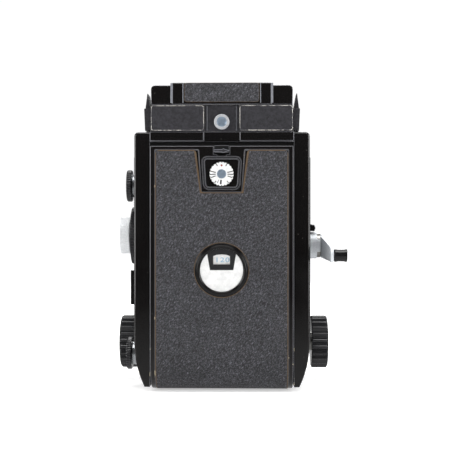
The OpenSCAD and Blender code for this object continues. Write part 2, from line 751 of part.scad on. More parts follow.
// Leaf spring between the back and the pressure plate
module pressure_spring() {
    y0 = back_y + door_face + door_t;
    y1 = plate_y[0] - 0.15;
    color("silver") difference() {
        union() {
            rod_y(9, [y0, y0 + 0.4], 0, window_z);
            for (a = [45:90:315]) translate([0, 0, window_z]) rotate([0, a, 0]) translate([0, 0, -window_z])
                along_x([-2.5, 2.5]) polygon([[y0, window_z + 7], [y0 + 0.4, window_z + 7], [y1, window_z + 20], [y1, window_z + 24],
                    [y1 - 0.4, window_z + 24], [y1 - 0.4, window_z + 20.2]]);
        }
        rod_y(4, [y0 - far, y0 + 2], 0, window_z);
    }
}
module door_catch() {
    z = door_top - 3.2;
    color("#2c2c2e") {
        block([-4, 4], [back_y + 1.4, back_y + 2.6], [z, door_top + 0.4]);
        block([-2, 2], [back_y - 0.2, back_y + 1.4], [z, z + 1.6]);
        along_y([back_y - 1, back_y - 0.2]) polygon([[-4.4, z - 0.4], [-3.8, z + 1.4], [0, z + 2.6], [3, z + 1.9], [4.4, z + 0.8], [0, z - 0.9]]);
    }
}

// ---------- left side ----------
module spool_knob(z) {
    color("#1d1d1f") {
        rod_x(knob_r, [-knob_out, -knob_neck - 0.2], spool_y, z);
        rod_x(knob_neck_r, [-knob_neck - 0.2, -cover_half + cover_t + 0.6], spool_y, z);
        rod_x(knob_neck_r + 1.3, [-knob_neck - 0.2, -cover_half - 0.2], spool_y, z);
    }
    color("silver") {
        rod_x(shaft_r, [-cover_half + cover_t + 0.6, -chamber_half], spool_y, z);
    }
}
// Centre that a spool turns on
module spool_pin(z) {
    color("silver") rod_x(spool_pin_r, [-chamber_half, -chamber_half + 3], spool_y, z);
}
module takeup_knob() spool_knob(high_z);
module takeup_pin() spool_pin(high_z);
module supply_knob() spool_knob(low_z);
module supply_pin() spool_pin(low_z);
module lens_lock_wheel() {
    x0 = -cover_half - 0.2;
    color("#17171a") difference() {
        union() {
            rod_x(lock_shaft_r, [x0, -cover_half + cover_t + 1], lock_y, lock_z);
            rod_x(lock_r - 1.5, [x0 - 1.6, x0], lock_y, lock_z);
            rod_x(lock_r, [x0 - 4.2, x0 - 1.6], lock_y, lock_z);
            translate([x0 - 4.2, lock_y, lock_z]) rotate([0, -90, 0])
                cylinder(r1 = lock_r, r2 = selector_r + 0.8, h = lock_out - 4.4 - cover_half);
        }
        rod_x(2 + run, [-lock_out - far, -cover_half - 0.5], lock_y, lock_z);
    }
}
module selector_dial() {
    color("silver") {
        rod_x(selector_r, [-selector_out, -lock_out - 0.3], lock_y, lock_z);
        rod_x(2, [-lock_out - 0.3, -cover_half - 0.6], lock_y, lock_z);
    }
}
// Blind that swings up behind the taking lens when the lens is unlocked
module light_baffle() {
    half = box_half - 0.8;
    color("#202022") {
        block([-half, half], [baffle_y - baffle_len, baffle_y - 0.9], [baffle_z - 0.5, baffle_z + 0.5]);
        rod_x(baffle_pin_r, [-box_half - 2, box_half + 2], baffle_y, baffle_z);
    }
}

// ---------- film advance ----------
module crank_arm() {
    x0 = cover_half + 5;
    color("silver") {
        rod_x(crank_boss_r, [cover_half + 0.7, x0], crank_y, crank_z);
        rod_x(4, [cover_half - cover_t - 0.5, cover_half + 0.7], crank_y, crank_z);
        rod_x(crank_hub_r, [x0, x0 + 2], crank_y, crank_z);
        translate([x0 + 2, crank_y, crank_z]) rotate([180 + crank_tilt, 0, 0]) crank_bar();
        rod_x(1.2, [x0 + 2.8 + crank_lift, x0 + 3.6 + crank_lift + handle_len - 1], tip_y, tip_z);
    }
}
// Slanting bar from the hub to the handle, drawn along +Y
module crank_bar() {
    t = 1.6;
    intersection() {
        translate([0, 0, -10]) linear_extrude(20) polygon([[0, -9], [t, -9], [t, 2], [crank_lift + t, crank_len - 4],
            [crank_lift + t, crank_len + 6], [crank_lift, crank_len + 6], [crank_lift, crank_len - 3], [0, 4]]);
        along_x([-1, crank_lift + 3]) {
            hub = crank_hub_r - 0.4;
            tip = handle_r + 0.2;
            polygon([[0, -hub + 0.05], [crank_len, -tip + 0.05], [crank_len, tip - 0.05], [0, hub - 0.05]]);
            circle(r = hub + 0.1);
            translate([crank_len, 0]) circle(r = tip);
        }
    }
}
module crank_handle() {
    x0 = cover_half + 5 + 3.6 + crank_lift + 0.2;
    color("#151516") difference() {
        rod_x(handle_r, [x0, x0 + handle_len], tip_y, tip_z);
        rod_x(1.2 + run, [x0 - far, x0 + handle_len - 1.2], tip_y, tip_z);
    }
}
module crank_gear() {
    color("#9a958a") {
        gear_x_at(wind_module, wind_teeth[0], wind_angle, gear_x, crank_y, crank_z);
        rod_x(shaft_r, [case_half - 2.2, gear_x[0]], crank_y, crank_z);
        rod_x(shaft_r, [gear_x[1], cover_half - cover_t - 0.5], crank_y, crank_z);
    }
}
module takeup_drive() {
    color("#9a958a") {
        gear_x_at(wind_module, wind_teeth[1], wind_angle + 180 + 180 / wind_teeth[1], gear_x, spool_y, high_z);
        rod_x(shaft_r, [chamber_half, gear_x[0]], spool_y, high_z);
        rod_x(spool_pin_r, [chamber_half - 3, chamber_half], spool_y, high_z);
    }
}
// Empty film spool that takes up the exposed film
module takeup_spool() {
    half = spool_len / 2;
    color("#242426") difference() {
        union() {
            rod_x(5.6, [-half, half], spool_y, high_z);
            for (x = [[-half, -half + 1.6], [half - 1.6, half]]) rod_x(chamber_r - 0.5, x, spool_y, high_z);
        }
        rod_x(spool_pin_r + run, [-half - far, -half + 4], spool_y, high_z);
        rod_x(spool_pin_r + run, [half - 4, half + far], spool_y, high_z);
        block([-half + 8, half - 8], [spool_y - 0.6, spool_y + 0.6], [high_z - 8, high_z + 8]);
    }
}
module counter_dial() {
    x = [gear_x[1] + 0.4, cover_half - cover_t - 0.3];
    color("ivory") difference() {
        rod_x(counter_r, x, crank_y, counter_z);
        rod_x(counter_pin_r + run, [x[0] - far, x[1] + far], crank_y, counter_z);
    }
}
module film_roller(z) {
    color("silver") {
        rod_x(roller_r, [-chamber_half + 0.2, chamber_half - 0.2], roller_y, z);
        rod_x(1.2, [-chamber_half - 1.4, chamber_half + 1.4], roller_y, z);
    }
}
module upper_roller() film_roller(taking_z + roller_dz);
module lower_roller() film_roller(taking_z - roller_dz);

// ---------- shutter release ----------
module shutter_button() {
    color("silver") {
        rod_y(release_r, [front_y, front_y + release_travel + 1], release_x, release_z);
        rod_y(shaft_r, [front_y - 10, front_y], release_x, release_z);
    }
}
module release_lock() {
    y = [front_y + 0.1, front_y + 1.5];
    color("#1a1a1b") difference() {
        union() {
            rod_y(release_r + 2.4, y, release_x, release_z);
            block([release_x - release_r - 6.5, release_x], y, [release_z - 1.6, release_z + 1.6]);
        }
        rod_y(release_r + 0.2, [y[0] - far, y[1] + far], release_x, release_z);
    }
}

// ---------- focusing ----------
module focus_shaft() {
    color("#8f8f92") {
        rod_x(focus_shaft_r, [-focus_knob_x, focus_knob_x], focus_y, focus_z);
        both_sides() {
            gear_x_at(focus_module, pinion_teeth, 90 - 180 / pinion_teeth, [rack_x[0] - 0.3, rack_x[1] + 0.2], focus_y, focus_z);
            rod_x(focus_boss_r, [rack_x[1] + 0.2, focus_knob_x], focus_y, focus_z);
        }
    }
}
focus_knob_x = cover_half + focus_knob_gap;
module focus_knobs() {
    color("#141415") both_sides()
        rod_x(focus_knob_r, [focus_knob_x, focus_knob_x + focus_knob_len], focus_y, focus_z);
}
// Toothed bars that carry the lens standard, teeth downwards
function rack_points(c) = let (
    half = tooth_share * 3.1416 * focus_module / 2,
    tip = half - flank * addendum * focus_module,
    root = half + flank * dedendum * focus_module
) [[c - root, rack_pitch_z + dedendum * focus_module], [c - tip, rack_pitch_z - addendum * focus_module],
    [c + tip, rack_pitch_z - addendum * focus_module], [c + root, rack_pitch_z + dedendum * focus_module]];
module focus_racks() {
    pitch = 3.14159 * focus_module;
    first = ceil((rack_rear + 1.2 - focus_y) / pitch);
    last = floor((standard_y - 3 - focus_y) / pitch);
    root_z = rack_pitch_z + dedendum * focus_module;
    color("#a8a8aa") both_sides() along_x(rack_x) polygon(concat(
        [[rack_rear, rack_top], [rack_rear, root_z]],
        [for (i = [first:last], p = rack_points(focus_y + i * pitch)) p],
        [[standard_y, root_z], [standard_y, rack_top]]));
}
module front_standard() {
    y = [standard_y, standard_y + standard_t];
    color("#1b1b1d") difference() {
        union() {
            block([-standard_half, standard_half], y, [standard_low, standard_top]);
            block([-rack_x[1] - 0.6, rack_x[1] + 0.6], y, [rack_pitch_z - 2, rack_top + 2.4]);
            both_sides() block([wire_x + 1.2, wire_x + 3.8], [y[1], wire_y + 2.2], [wire_z - 3, wire_z + 3]);
        }
        block([-bellows_in_half, bellows_in_half], [y[0] - far, y[1] + far], bellows_in_z);
        rod_x(wire_r + run, [-wire_x - 5, wire_x + 5], wire_y, wire_z);
    }
}
bellows_in_half = recess_half - bellows_gap - bellows_t;
bellows_in_z = [recess_low + bellows_gap + bellows_t, recess_high - bellows_gap - bellows_t];
// Folded bellows, pressed flat in its recess
module bellows() {
    out = recess_half - bellows_gap;
    folds = 4;
    y0 = recess_y + 0.5;
    w = (standard_y - y0) / folds;
    color("#242425") for (i = [0:folds - 1]) difference() {
        union() {
            block([-out, out], [y0 + i * w, y0 + (i + 0.5) * w], [recess_low + bellows_gap, recess_high - bellows_gap]);
            block([-out + 1.5, out - 1.5], [y0 + (i + 0.5) * w, y0 + (i + 1) * w],
                [recess_low + bellows_gap + 1.5, recess_high - bellows_gap - 1.5]);
        }
        block([-bellows_in_half, bellows_in_half], [y0 + i * w - far, y0 + (i + 1) * w + far], bellows_in_z);
    }
}
module lens_wire() {
    color("silver") {
        rod_x(wire_r, [-wire_x - wire_r, wire_x + wire_r], wire_y, wire_bar_z);
        both_sides() {
            rod_z(wire_r, [wire_z, wire_bar_z], wire_x, wire_y);
            rod_x(wire_r, [wire_x, wire_x + 3.6], wire_y, wire_z);
        }
    }
}

// ---------- lenses ----------
module lens_board() {
    color("#1d1d1f") difference() {
        along_y([board_y, board_front]) round_rect([-board_half, board_half], [board_low, board_high], 3);
        for (z = [taking_z, viewing_z]) rod_y(rear_tube_r + run, [board_y - far, board_front + far], 0, z);
    }
}
// Tube through the board with a ring to rest on it
module lens_mount(z) {
    rod_y(rear_tube_r, [board_y - 6, board_front], 0, z);
}
module viewing_barrel() {
    color("#19191b") difference() {
        union() {
            lens_mount(viewing_z);
            rod_y(barrel_r, [board_front, board_front + 5], 0, viewing_z);
            rod_y(barrel_r - 2.5, [board_front + 5, board_front + 14], 0, viewing_z);
            cone_y([barrel_r - 2.5, barrel_r], [board_front + 14, board_front + 19], 0, viewing_z);
            rod_y(barrel_r, [board_front + 19, lens_front - 2], 0, viewing_z);
        }
        rod_y(rear_tube_r - 2, [board_y - 7, board_front + 10], 0, viewing_z);
        rod_y(glass_r, [board_front + 10, lens_front], 0, viewing_z);
        rod_y(barrel_r - 2, [lens_front - 5, lens_front], 0, viewing_z);
    }
}
module front_glass(z, y) {
    color("lightblue", 0.5) rod_y(glass_r - slip, [y, y + 4], 0, z);
    color("lightblue", 0.5) rod_y(rear_tube_r - 2 - slip, [board_y - 5, board_y - 2], 0, z);
}
module viewing_glass() front_glass(viewing_z, lens_front - 10);
ring_y0 = board_front + 2.6;
module shutter_housing() {
    color("#19191b") difference() {
        union() {
            lens_mount(taking_z);
            rod_y(barrel_r, [board_front, ring_y0 - 0.1], 0, taking_z);
            rod_y(core_r, [ring_y0 - 0.1, ring_y0 + 12.4], 0, taking_z);
            rod_y(barrel_r - 1, [ring_y0 + 12.4, ring_y0 + 16], 0, taking_z);
            rod_y(barrel_r - 2.5, [ring_y0 + 16, lens_front - 6], 0, taking_z);
            rod_y(barrel_r, [lens_front - 6, lens_front], 0, taking_z);
        }
        rod_y(rear_tube_r - 2, [board_y - 7, board_front + 10], 0, taking_z);
        rod_y(glass_r, [board_front + 10, lens_front + far], 0, taking_z);
        rod_y(barrel_r - 2, [lens_front - 5, lens_front + far], 0, taking_z);
    }
}
module taking_glass() {
    front_glass(taking_z, lens_front - 10);
    // iris leaves
    color("#3a3a3c") ring_y(rear_tube_r - 2 - slip, 6, [board_front + 4, board_front + 4.4], 0, taking_z);
}
module speed_ring() color("#5c5c5f") ring_y(barrel_r + 0.6, core_r + run, [ring_y0, ring_y0 + 5], 0, taking_z);
module aperture_ring() color("#3a3a3c") ring_y(barrel_r, core_r + run, [ring_y0 + 5.2, ring_y0 + 9], 0, taking_z);
module cocking_lever() {
    y = [ring_y0 + 9.2, ring_y0 + 12.2];
    color("silver") difference() {
        union() {
            rod_y(barrel_r - 1.5, y, 0, taking_z);
            block([core_r, barrel_r + 5], y, [taking_z - 2, taking_z + 2]);
        }
        rod_y(core_r + run, [y[0] - far, y[1] + far], 0, taking_z);
    }
}

// ---------- draw ----------
main_casting();
left_side_cover();
right_side_cover();
side_leathers();
base_plate();
top_deck();
reflex_mirror();
focusing_screen();
counter_housing();
flash_shoe();
body_fasteners();
finder_base();
finder_button();
hood_lid();
magnifier_holder();
magnifier_lens();
hood_left_flap();
hood_right_flap();
hood_rear_flap();
back_door();
back_leather();
memo_frame();
memo_dial();
window_ring();
window_face();
pressure_spring();
pressure_plate();
format_disc();
door_catch();
takeup_knob();
takeup_pin();
supply_knob();
supply_pin();
lens_lock_wheel();
selector_dial();
light_baffle();
crank_arm();
crank_gear();
crank_handle();
takeup_drive();
takeup_spool();
counter_dial();
upper_roller();
lower_roller();
shutter_button();
release_lock();
focus_shaft();
focus_knobs();
focus_racks();
front_standard();
bellows();
lens_wire();
lens_board();
viewing_barrel();
viewing_glass();
shutter_housing();
taking_glass();
speed_ring();
aperture_ring();
cocking_lever();
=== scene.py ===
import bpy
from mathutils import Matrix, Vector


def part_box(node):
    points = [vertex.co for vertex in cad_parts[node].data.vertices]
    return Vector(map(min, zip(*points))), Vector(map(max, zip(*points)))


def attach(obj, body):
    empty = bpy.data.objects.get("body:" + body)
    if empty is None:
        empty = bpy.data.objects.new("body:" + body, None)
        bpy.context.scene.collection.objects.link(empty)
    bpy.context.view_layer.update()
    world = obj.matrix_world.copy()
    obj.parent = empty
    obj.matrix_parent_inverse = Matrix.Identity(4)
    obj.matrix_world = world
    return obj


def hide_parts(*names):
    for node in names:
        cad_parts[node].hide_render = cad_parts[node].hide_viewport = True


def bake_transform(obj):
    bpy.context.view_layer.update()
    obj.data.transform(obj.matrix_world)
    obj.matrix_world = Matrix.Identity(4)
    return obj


bl_info = {
    "name": "Twin lens reflex camera",
    "version": (1, 0, 0),
    "blender": (4, 5, 0),
    "location": "3D View > Sidebar > Camera",
    "description": "Shapes and finishes a twin lens reflex camera on its fixed frame",
    "category": "Object",
}

import math

import bmesh
import bpy
from bpy.props import FloatProperty, FloatVectorProperty, IntProperty
from mathutils import Vector

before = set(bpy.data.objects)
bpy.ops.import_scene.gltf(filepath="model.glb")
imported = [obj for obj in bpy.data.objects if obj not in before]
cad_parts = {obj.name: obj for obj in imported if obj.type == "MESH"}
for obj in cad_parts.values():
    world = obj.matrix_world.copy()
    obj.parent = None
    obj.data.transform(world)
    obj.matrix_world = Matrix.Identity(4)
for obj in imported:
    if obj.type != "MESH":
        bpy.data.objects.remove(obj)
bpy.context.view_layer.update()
MM = 0.001


def linear(code):
    """Linear colour of an sRGB hex code."""
    part = [int(code[i:i + 2], 16) / 255 for i in (0, 2, 4)]
    return tuple(c / 12.92 if c <= 0.04045 else ((c + 0.055) / 1.055) ** 2.4 for c in part)


def colour(name, code, description):
    return FloatVectorProperty(name=name, description=description, default=linear(code), size=3,
                               min=0, max=1, subtype="COLOR")


def length(name, mm, description):
    return FloatProperty(name=name, description=description, default=mm * MM, min=0, unit="LENGTH")


class CameraLook(bpy.types.PropertyGroup):
    enamel: colour("Enamel", "0a0808", "Gloss black stoving enamel of the covers")
    matt: colour("Matt paint", "2c2b30", "Matt black paint of the finder")
    leather: colour("Leather", "4a4a50", "Top of the pebbled leatherette")
    # Painted shade laid into the creases of the leatherette
    crease_shade: colour("Leather crease", "232326", "Creases between the pebbles")
    raw_edge: colour("Leather edge", "5c4830", "Cut edge of the leatherette")
    chrome: colour("Chrome", "c9cccf", "Satin chrome of the controls")
    ivory: colour("Ivory", "dededd", "White plastic of the dials")
    brass: colour("Brass", "b59a5e", "Brass that shows through worn enamel")


class CameraSize(bpy.types.PropertyGroup):
    edge: length("Edge radius", 0.35, "Radius of the enamelled edges")
    pebble: length("Pebble", 1.05, "Width of one pebble of the leatherette")
    leather_corner: length("Leather corner", 2.4, "Corner radius of the leather panels")
    focus_ribs: IntProperty(name="Focusing ribs", description="Ribs round a focusing knob", default=24, min=8)
    knurls: IntProperty(name="Knurls", description="Notches round a spool knob", default=36, min=12)


def look():
    return bpy.context.scene.camera_look


def size():
    return bpy.context.scene.camera_size


# ---------- finishes ----------
def add(tree, kind, settings=None, sockets=None):
    """Adds a node, with its settings and what goes into its sockets."""
    node = tree.nodes.new(kind)
    for key, value in (settings or {}).items():
        setattr(node, key, value)
    for key, value in (sockets or {}).items():
        if isinstance(value, bpy.types.NodeSocket):
            tree.links.new(value, node.inputs[key])
        else:
            node.inputs[key].default_value = value
    return node


def rgba(c, k=1.0):
    return (c[0] * k, c[1] * k, c[2] * k, 1.0)


made = {}


def blank(name):
    """A new material with its tree, shader and object coordinates."""
    if name in made:
        return made[name], None, None, None
    mat = made[name] = bpy.data.materials.new(name)
    mat.use_nodes = True
    tree = mat.node_tree
    tree.nodes.clear()
    shader = add(tree, "ShaderNodeBsdfPrincipled")
    add(tree, "ShaderNodeOutputMaterial", sockets={"Surface": shader.outputs[0]})
    place = add(tree, "ShaderNodeTexCoord").outputs["Object"]
    return mat, tree, shader, place


def set_shader(shader, **values):
    for key, value in values.items():
        shader.inputs[key.replace("_", " ").replace("  ", "_")].default_value = value


def gloss_enamel():
    # Stoved gloss enamel on pressed sheet: deep black, mirror-like, with a faint ripple, hazy
    # fingermarks in the gloss and a few grains of dust.
    mat, tree, shader, place = blank("gloss_enamel")
    if not tree:
        return mat
    haze = add(tree, "ShaderNodeTexNoise", sockets={"Vector": place, "Scale": 70.0, "Detail": 4.0})
    rough = add(tree, "ShaderNodeMapRange", sockets={"Value": haze.outputs[0], "From Min": 0.35, "From Max": 0.75,
                                                     "To Min": 0.13, "To Max": 0.27})
    dust = add(tree, "ShaderNodeTexVoronoi", sockets={"Vector": place, "Scale": 210.0})
    speck = add(tree, "ShaderNodeMapRange", sockets={"Value": dust.outputs["Distance"], "From Min": 0.045,
                                                     "From Max": 0.025, "To Min": 0.0, "To Max": 0.35})
    tint = add(tree, "ShaderNodeMix", {"data_type": "RGBA"}, {0: speck.outputs[0], 6: rgba(look().enamel),
                                                              7: rgba(linear("8a8780"))})
    ripple = add(tree, "ShaderNodeTexNoise", sockets={"Vector": place, "Scale": 260.0, "Detail": 2.0})
    bump = add(tree, "ShaderNodeBump", sockets={"Height": ripple.outputs[0], "Strength": 0.12, "Distance": 0.00006})
    tree.links.new(tint.outputs[2], shader.inputs["Base Color"])
    tree.links.new(rough.outputs[0], shader.inputs["Roughness"])
    tree.links.new(bump.outputs[0], shader.inputs["Normal"])
    set_shader(shader, IOR=1.5)
    return mat


def worn_enamel():
    # The same enamel on an edge, painted a lighter grey all along as a painted highlight for the light the rounded
    # edge catches, and rubbed thin, so the metal shows in short bright runs, more of it low down where hands and
    # tables have worn it.
    mat, tree, shader, place = blank("worn_enamel")
    if not tree:
        return mat
    patch = add(tree, "ShaderNodeTexNoise",
                sockets={"Vector": place, "Scale": 150.0, "Detail": 5.0, "Roughness": 0.7})
    xyz = add(tree, "ShaderNodeSeparateXYZ", sockets={0: place})
    low = add(tree, "ShaderNodeMapRange", sockets={"Value": xyz.outputs[2], "From Min": 0.0, "From Max": 0.06,
                                                   "To Min": 0.56, "To Max": 0.68})
    above = add(tree, "ShaderNodeMath", {"operation": "SUBTRACT"}, {0: patch.outputs[0], 1: low.outputs[0]})
    bare = add(tree, "ShaderNodeMapRange", sockets={"Value": above.outputs[0], "From Min": 0.0, "From Max": 0.02})
    # Painted highlight: grey 5c5c60 lightens the whole unworn edge; the pale c9bda4 is bare metal where it is worn
    tint = add(tree, "ShaderNodeMix", {"data_type": "RGBA"}, {0: bare.outputs[0], 6: rgba(linear("5c5c60")),
                                                              7: rgba(linear("c9bda4"))})
    rough = add(tree, "ShaderNodeMapRange", sockets={"Value": bare.outputs[0], "To Min": 0.2, "To Max": 0.38})
    tree.links.new(tint.outputs[2], shader.inputs["Base Color"])
    tree.links.new(rough.outputs[0], shader.inputs["Roughness"])
    set_shader(shader, IOR=1.5)
    return mat


def edge_highlight_grey():
    # Painted highlight: a smooth mid grey laid on edges and ribs in place of the light their rounded faces catch; no
    # bare metal.
    return plain("polished_paint_edge", linear("77797f"), 0.3, grit=800.0)


def matt_paint():
    # Matt crackle paint on the finder: a fine sandy grain and a soft, even grey sheen.
    mat, tree, shader, place = blank("matt_paint")
    if not tree:
        return mat
    grain = add(tree, "ShaderNodeTexNoise",
                sockets={"Vector": place, "Scale": 1500.0, "Detail": 3.0, "Roughness": 0.6})
    cloud = add(tree, "ShaderNodeTexNoise",
                sockets={"Vector": place, "Scale": 700.0, "Detail": 4.0, "Roughness": 0.7})
    tone = add(tree, "ShaderNodeMapRange", sockets={"Value": cloud.outputs[0], "From Min": 0.35, "From Max": 0.65,
                                                    "To Min": 0.62, "To Max": 1.3})
    tint = add(tree, "ShaderNodeMix", {"data_type": "RGBA", "blend_type": "MULTIPLY"},
               {0: 1.0, 6: rgba(look().matt), 7: tone.outputs[0]})
    bump = add(tree, "ShaderNodeBump", sockets={"Height": grain.outputs[0], "Strength": 0.35, "Distance": 0.00008})
    tree.links.new(tint.outputs[2], shader.inputs["Base Color"])
    tree.links.new(bump.outputs[0], shader.inputs["Normal"])
    set_shader(shader, Roughness=0.55, IOR=1.5)
    return mat


def rubbed_paint():
    # Matt paint on a sharp corner, worn to bare alloy in runs; the grey of the unworn edge and the near-white of the
    # bare runs are also a painted highlight, so the corner reads as an almost unbroken bright line.
    mat, tree, shader, place = blank("rubbed_paint")
    if not tree:
        return mat
    patch = add(tree, "ShaderNodeTexNoise",
                sockets={"Vector": place, "Scale": 330.0, "Detail": 5.0, "Roughness": 0.7})
    bare = add(tree, "ShaderNodeMapRange", sockets={"Value": patch.outputs[0], "From Min": 0.46, "From Max": 0.53})
    # Painted highlight: grey 6a696c on the unworn edge and near-white e2ded6 on the bare runs, both far lighter than
    # the paint
    tint = add(tree, "ShaderNodeMix", {"data_type": "RGBA"}, {0: bare.outputs[0], 6: rgba(linear("6a696c")),
                                                              7: rgba(linear("e2ded6"))})
    tree.links.new(tint.outputs[2], shader.inputs["Base Color"])
    set_shader(shader, Roughness=0.42)
    return mat


def cut_edge(tree, place):
    """One where the back's leather is cut, and nought elsewhere: its sides, top, notch and round hole."""
    high = box("back_leather")[1]
    ring_low, ring_high = box("window_ring")
    memo_low, memo_high = box("memo_frame")
    ring_z, hole_r = (ring_low.z + ring_high.z) / 2, (ring_high.z - ring_low.z) / 2
    notch_z, notch_half, notch_slope = memo_low.z - 1.7, memo_high.x + 0.65, 0.139
    side_edge, top_edge, hole_edge = 0.42, 0.5, 0.45

    def calc(operation, *values):
        return add(tree, "ShaderNodeMath", {"operation": operation}, dict(enumerate(values))).outputs[0]

    xyz = add(tree, "ShaderNodeSeparateXYZ", sockets={0: place})
    x, z = calc("ABSOLUTE", xyz.outputs[0]), xyz.outputs[2]
    rise = calc("SUBTRACT", z, ring_z * MM)
    reach = calc("SQRT", calc("ADD", calc("MULTIPLY", x, x), calc("POWER", rise, 2.0)))
    flare = calc("MULTIPLY_ADD", calc("SUBTRACT", z, notch_z * MM), notch_slope, notch_half * MM)
    notch = calc("MULTIPLY", calc("LESS_THAN", x, flare), calc("GREATER_THAN", z, (notch_z - 0.05) * MM))
    side = calc("GREATER_THAN", x, (high.x - side_edge) * MM)
    top = calc("GREATER_THAN", z, (high.z - top_edge) * MM)
    hole = calc("LESS_THAN", reach, (hole_r + hole_edge) * MM)
    return calc("MAXIMUM", calc("MAXIMUM", side, top), calc("MAXIMUM", hole, notch))


def leatherette(trimmed=False):
    # Embossed leatherette: irregular pebbles leaning one way, with painted shade darkening the creases between them,
    # painted glints in short streaks and a low sheen on their tops. The pebbles are drawn a little larger than life
    # so that they show.
    # Trimmed, it shows the brown fibre of the cut along the outline of the back's panel.
    mat, tree, shader, place = blank("embossed_leatherette_cut" if trimmed else "embossed_leatherette")
    if not tree:
        return mat
    lean = add(tree, "ShaderNodeMapping", {"vector_type": "TEXTURE"},
               {0: place, "Rotation": (0.0, math.radians(40), 0.0), "Scale": (0.62, 1.0, 1.7)})
    warp = add(tree, "ShaderNodeTexNoise", {"noise_dimensions": "3D"},
               {"Vector": lean.outputs[0], "Scale": 0.7 / size().pebble, "Detail": 3.0})
    bent = add(tree, "ShaderNodeMix", {"data_type": "VECTOR"},
               {0: 0.0016, 4: lean.outputs[0], 5: warp.outputs[1]})
    cell = add(tree, "ShaderNodeTexVoronoi", {"feature": "DISTANCE_TO_EDGE"},
               {"Vector": bent.outputs[1], "Scale": 1 / size().pebble})
    top = add(tree, "ShaderNodeMapRange", {"interpolation_type": "SMOOTHSTEP"},
              {"Value": cell.outputs["Distance"], "From Min": 0.0, "From Max": 0.32})
    fine = add(tree, "ShaderNodeTexNoise", sockets={"Vector": place, "Scale": 2600.0, "Detail": 2.0})
    cloud = add(tree, "ShaderNodeTexNoise", sockets={"Vector": place, "Scale": 60.0, "Detail": 3.0})
    height = add(tree, "ShaderNodeMath", {"operation": "MULTIPLY_ADD"},
                 {0: fine.outputs[0], 1: 0.25, 2: top.outputs[0]})
    # Painted shade: the creases between the pebbles are coloured darker than their tops
    shade = add(tree, "ShaderNodeMix", {"data_type": "RGBA"}, {0: top.outputs[0], 6: rgba(look().crease_shade),
                                                               7: rgba(look().leather)})
    tone = add(tree, "ShaderNodeMapRange", sockets={"Value": cloud.outputs[0], "From Min": 0.3, "From Max": 0.7,
                                                    "To Min": 0.9, "To Max": 1.1})
    # Painted highlight: streaky glints, stretched along the pebbles' lean, lighten the colour
    crest = add(tree, "ShaderNodeTexNoise",
                sockets={"Vector": bent.outputs[1], "Scale": 0.9 / size().pebble, "Detail": 2.0})
    glint = add(tree, "ShaderNodeMapRange", sockets={"Value": crest.outputs[0], "From Min": 0.5, "From Max": 0.68,
                                                     "To Min": 0.82, "To Max": 2.1})
    lit = add(tree, "ShaderNodeMath", {"operation": "MULTIPLY"}, {0: tone.outputs[0], 1: glint.outputs[0]})
    tint = add(tree, "ShaderNodeMix", {"data_type": "RGBA", "blend_type": "MULTIPLY"},
               {0: 1.0, 6: shade.outputs[2], 7: lit.outputs[0]})
    rough = add(tree, "ShaderNodeMapRange", sockets={"Value": top.outputs[0], "To Min": 0.75, "To Max": 0.47})
    bump = add(tree, "ShaderNodeBump", sockets={"Height": height.outputs[0], "Strength": 0.9, "Distance": 0.0003})
    colour_out = tint.outputs[2]
    if trimmed:
        edge = cut_edge(tree, place)
        brown = add(tree, "ShaderNodeMix", {"data_type": "RGBA"},
                    {0: edge, 6: tint.outputs[2], 7: rgba(look().raw_edge)})
        colour_out = brown.outputs[2]
    tree.links.new(colour_out, shader.inputs["Base Color"])
    tree.links.new(rough.outputs[0], shader.inputs["Roughness"])
    tree.links.new(bump.outputs[0], shader.inputs["Normal"])
    set_shader(shader, IOR=1.5)
    return mat


def plain(name, tint, rough, metallic=0.0, grit=900.0, depth=0.00002, spread=0.06, stretch=(1, 1, 1), **more):
    """A finish of one colour whose gloss and surface vary with its grit, in grains per metre."""
    mat, tree, shader, place = blank(name)
    if not tree:
        return mat
    lay = add(tree, "ShaderNodeMapping", sockets={0: place, "Scale": stretch})
    grain = add(tree, "ShaderNodeTexNoise", sockets={"Vector": lay.outputs[0], "Scale": grit, "Detail": 3.0})
    cloud = add(tree, "ShaderNodeTexNoise", sockets={"Vector": place, "Scale": 90.0, "Detail": 4.0})
    worn = add(tree, "ShaderNodeMapRange", sockets={"Value": cloud.outputs[0], "From Min": 0.3, "From Max": 0.7,
                                                    "To Min": rough - spread, "To Max": rough + spread})
    tone = add(tree, "ShaderNodeMapRange", sockets={"Value": grain.outputs[0], "From Min": 0.3, "From Max": 0.7,
                                                    "To Min": 0.88, "To Max": 1.1})
    base = add(tree, "ShaderNodeMix", {"data_type": "RGBA", "blend_type": "MULTIPLY"},
               {0: 1.0, 6: rgba(tint), 7: tone.outputs[0]})
    bump = add(tree, "ShaderNodeBump", sockets={"Height": grain.outputs[0], "Strength": 0.25, "Distance": depth})
    tree.links.new(base.outputs[2], shader.inputs["Base Color"])
    tree.links.new(worn.outputs[0], shader.inputs["Roughness"])
    tree.links.new(bump.outputs[0], shader.inputs["Normal"])
    shader.inputs["Metallic"].default_value = metallic
    for key, value in more.items():
        shader.inputs[key].default_value = value
    return mat


def satin_chrome():
    # Satin chrome plate over brushed brass: bright, with a soft silky blur.
    return plain("satin_chrome", look().chrome, 0.26, metallic=1.0, grit=2200.0)


def blasted_chrome():
    # Bead-blasted chrome, pale blue-grey, with an almost white base colour and little metal: a painted reflection of
    # bright surroundings in place of what real chrome would mirror.
    return plain("blasted_chrome", linear("e4e6e8"), 0.4, metallic=0.1, grit=1500.0, spread=0.04)


def pale_chrome_painted_reflection():
    # Chrome over a ground casting, paler than steel: its near-white base colour with little metal is partly a
    # painted reflection of bright surroundings, giving a broad milky shine.
    return plain("ground_chrome", linear("d9dde1"), 0.45, metallic=0.35, grit=1500.0, spread=0.03)


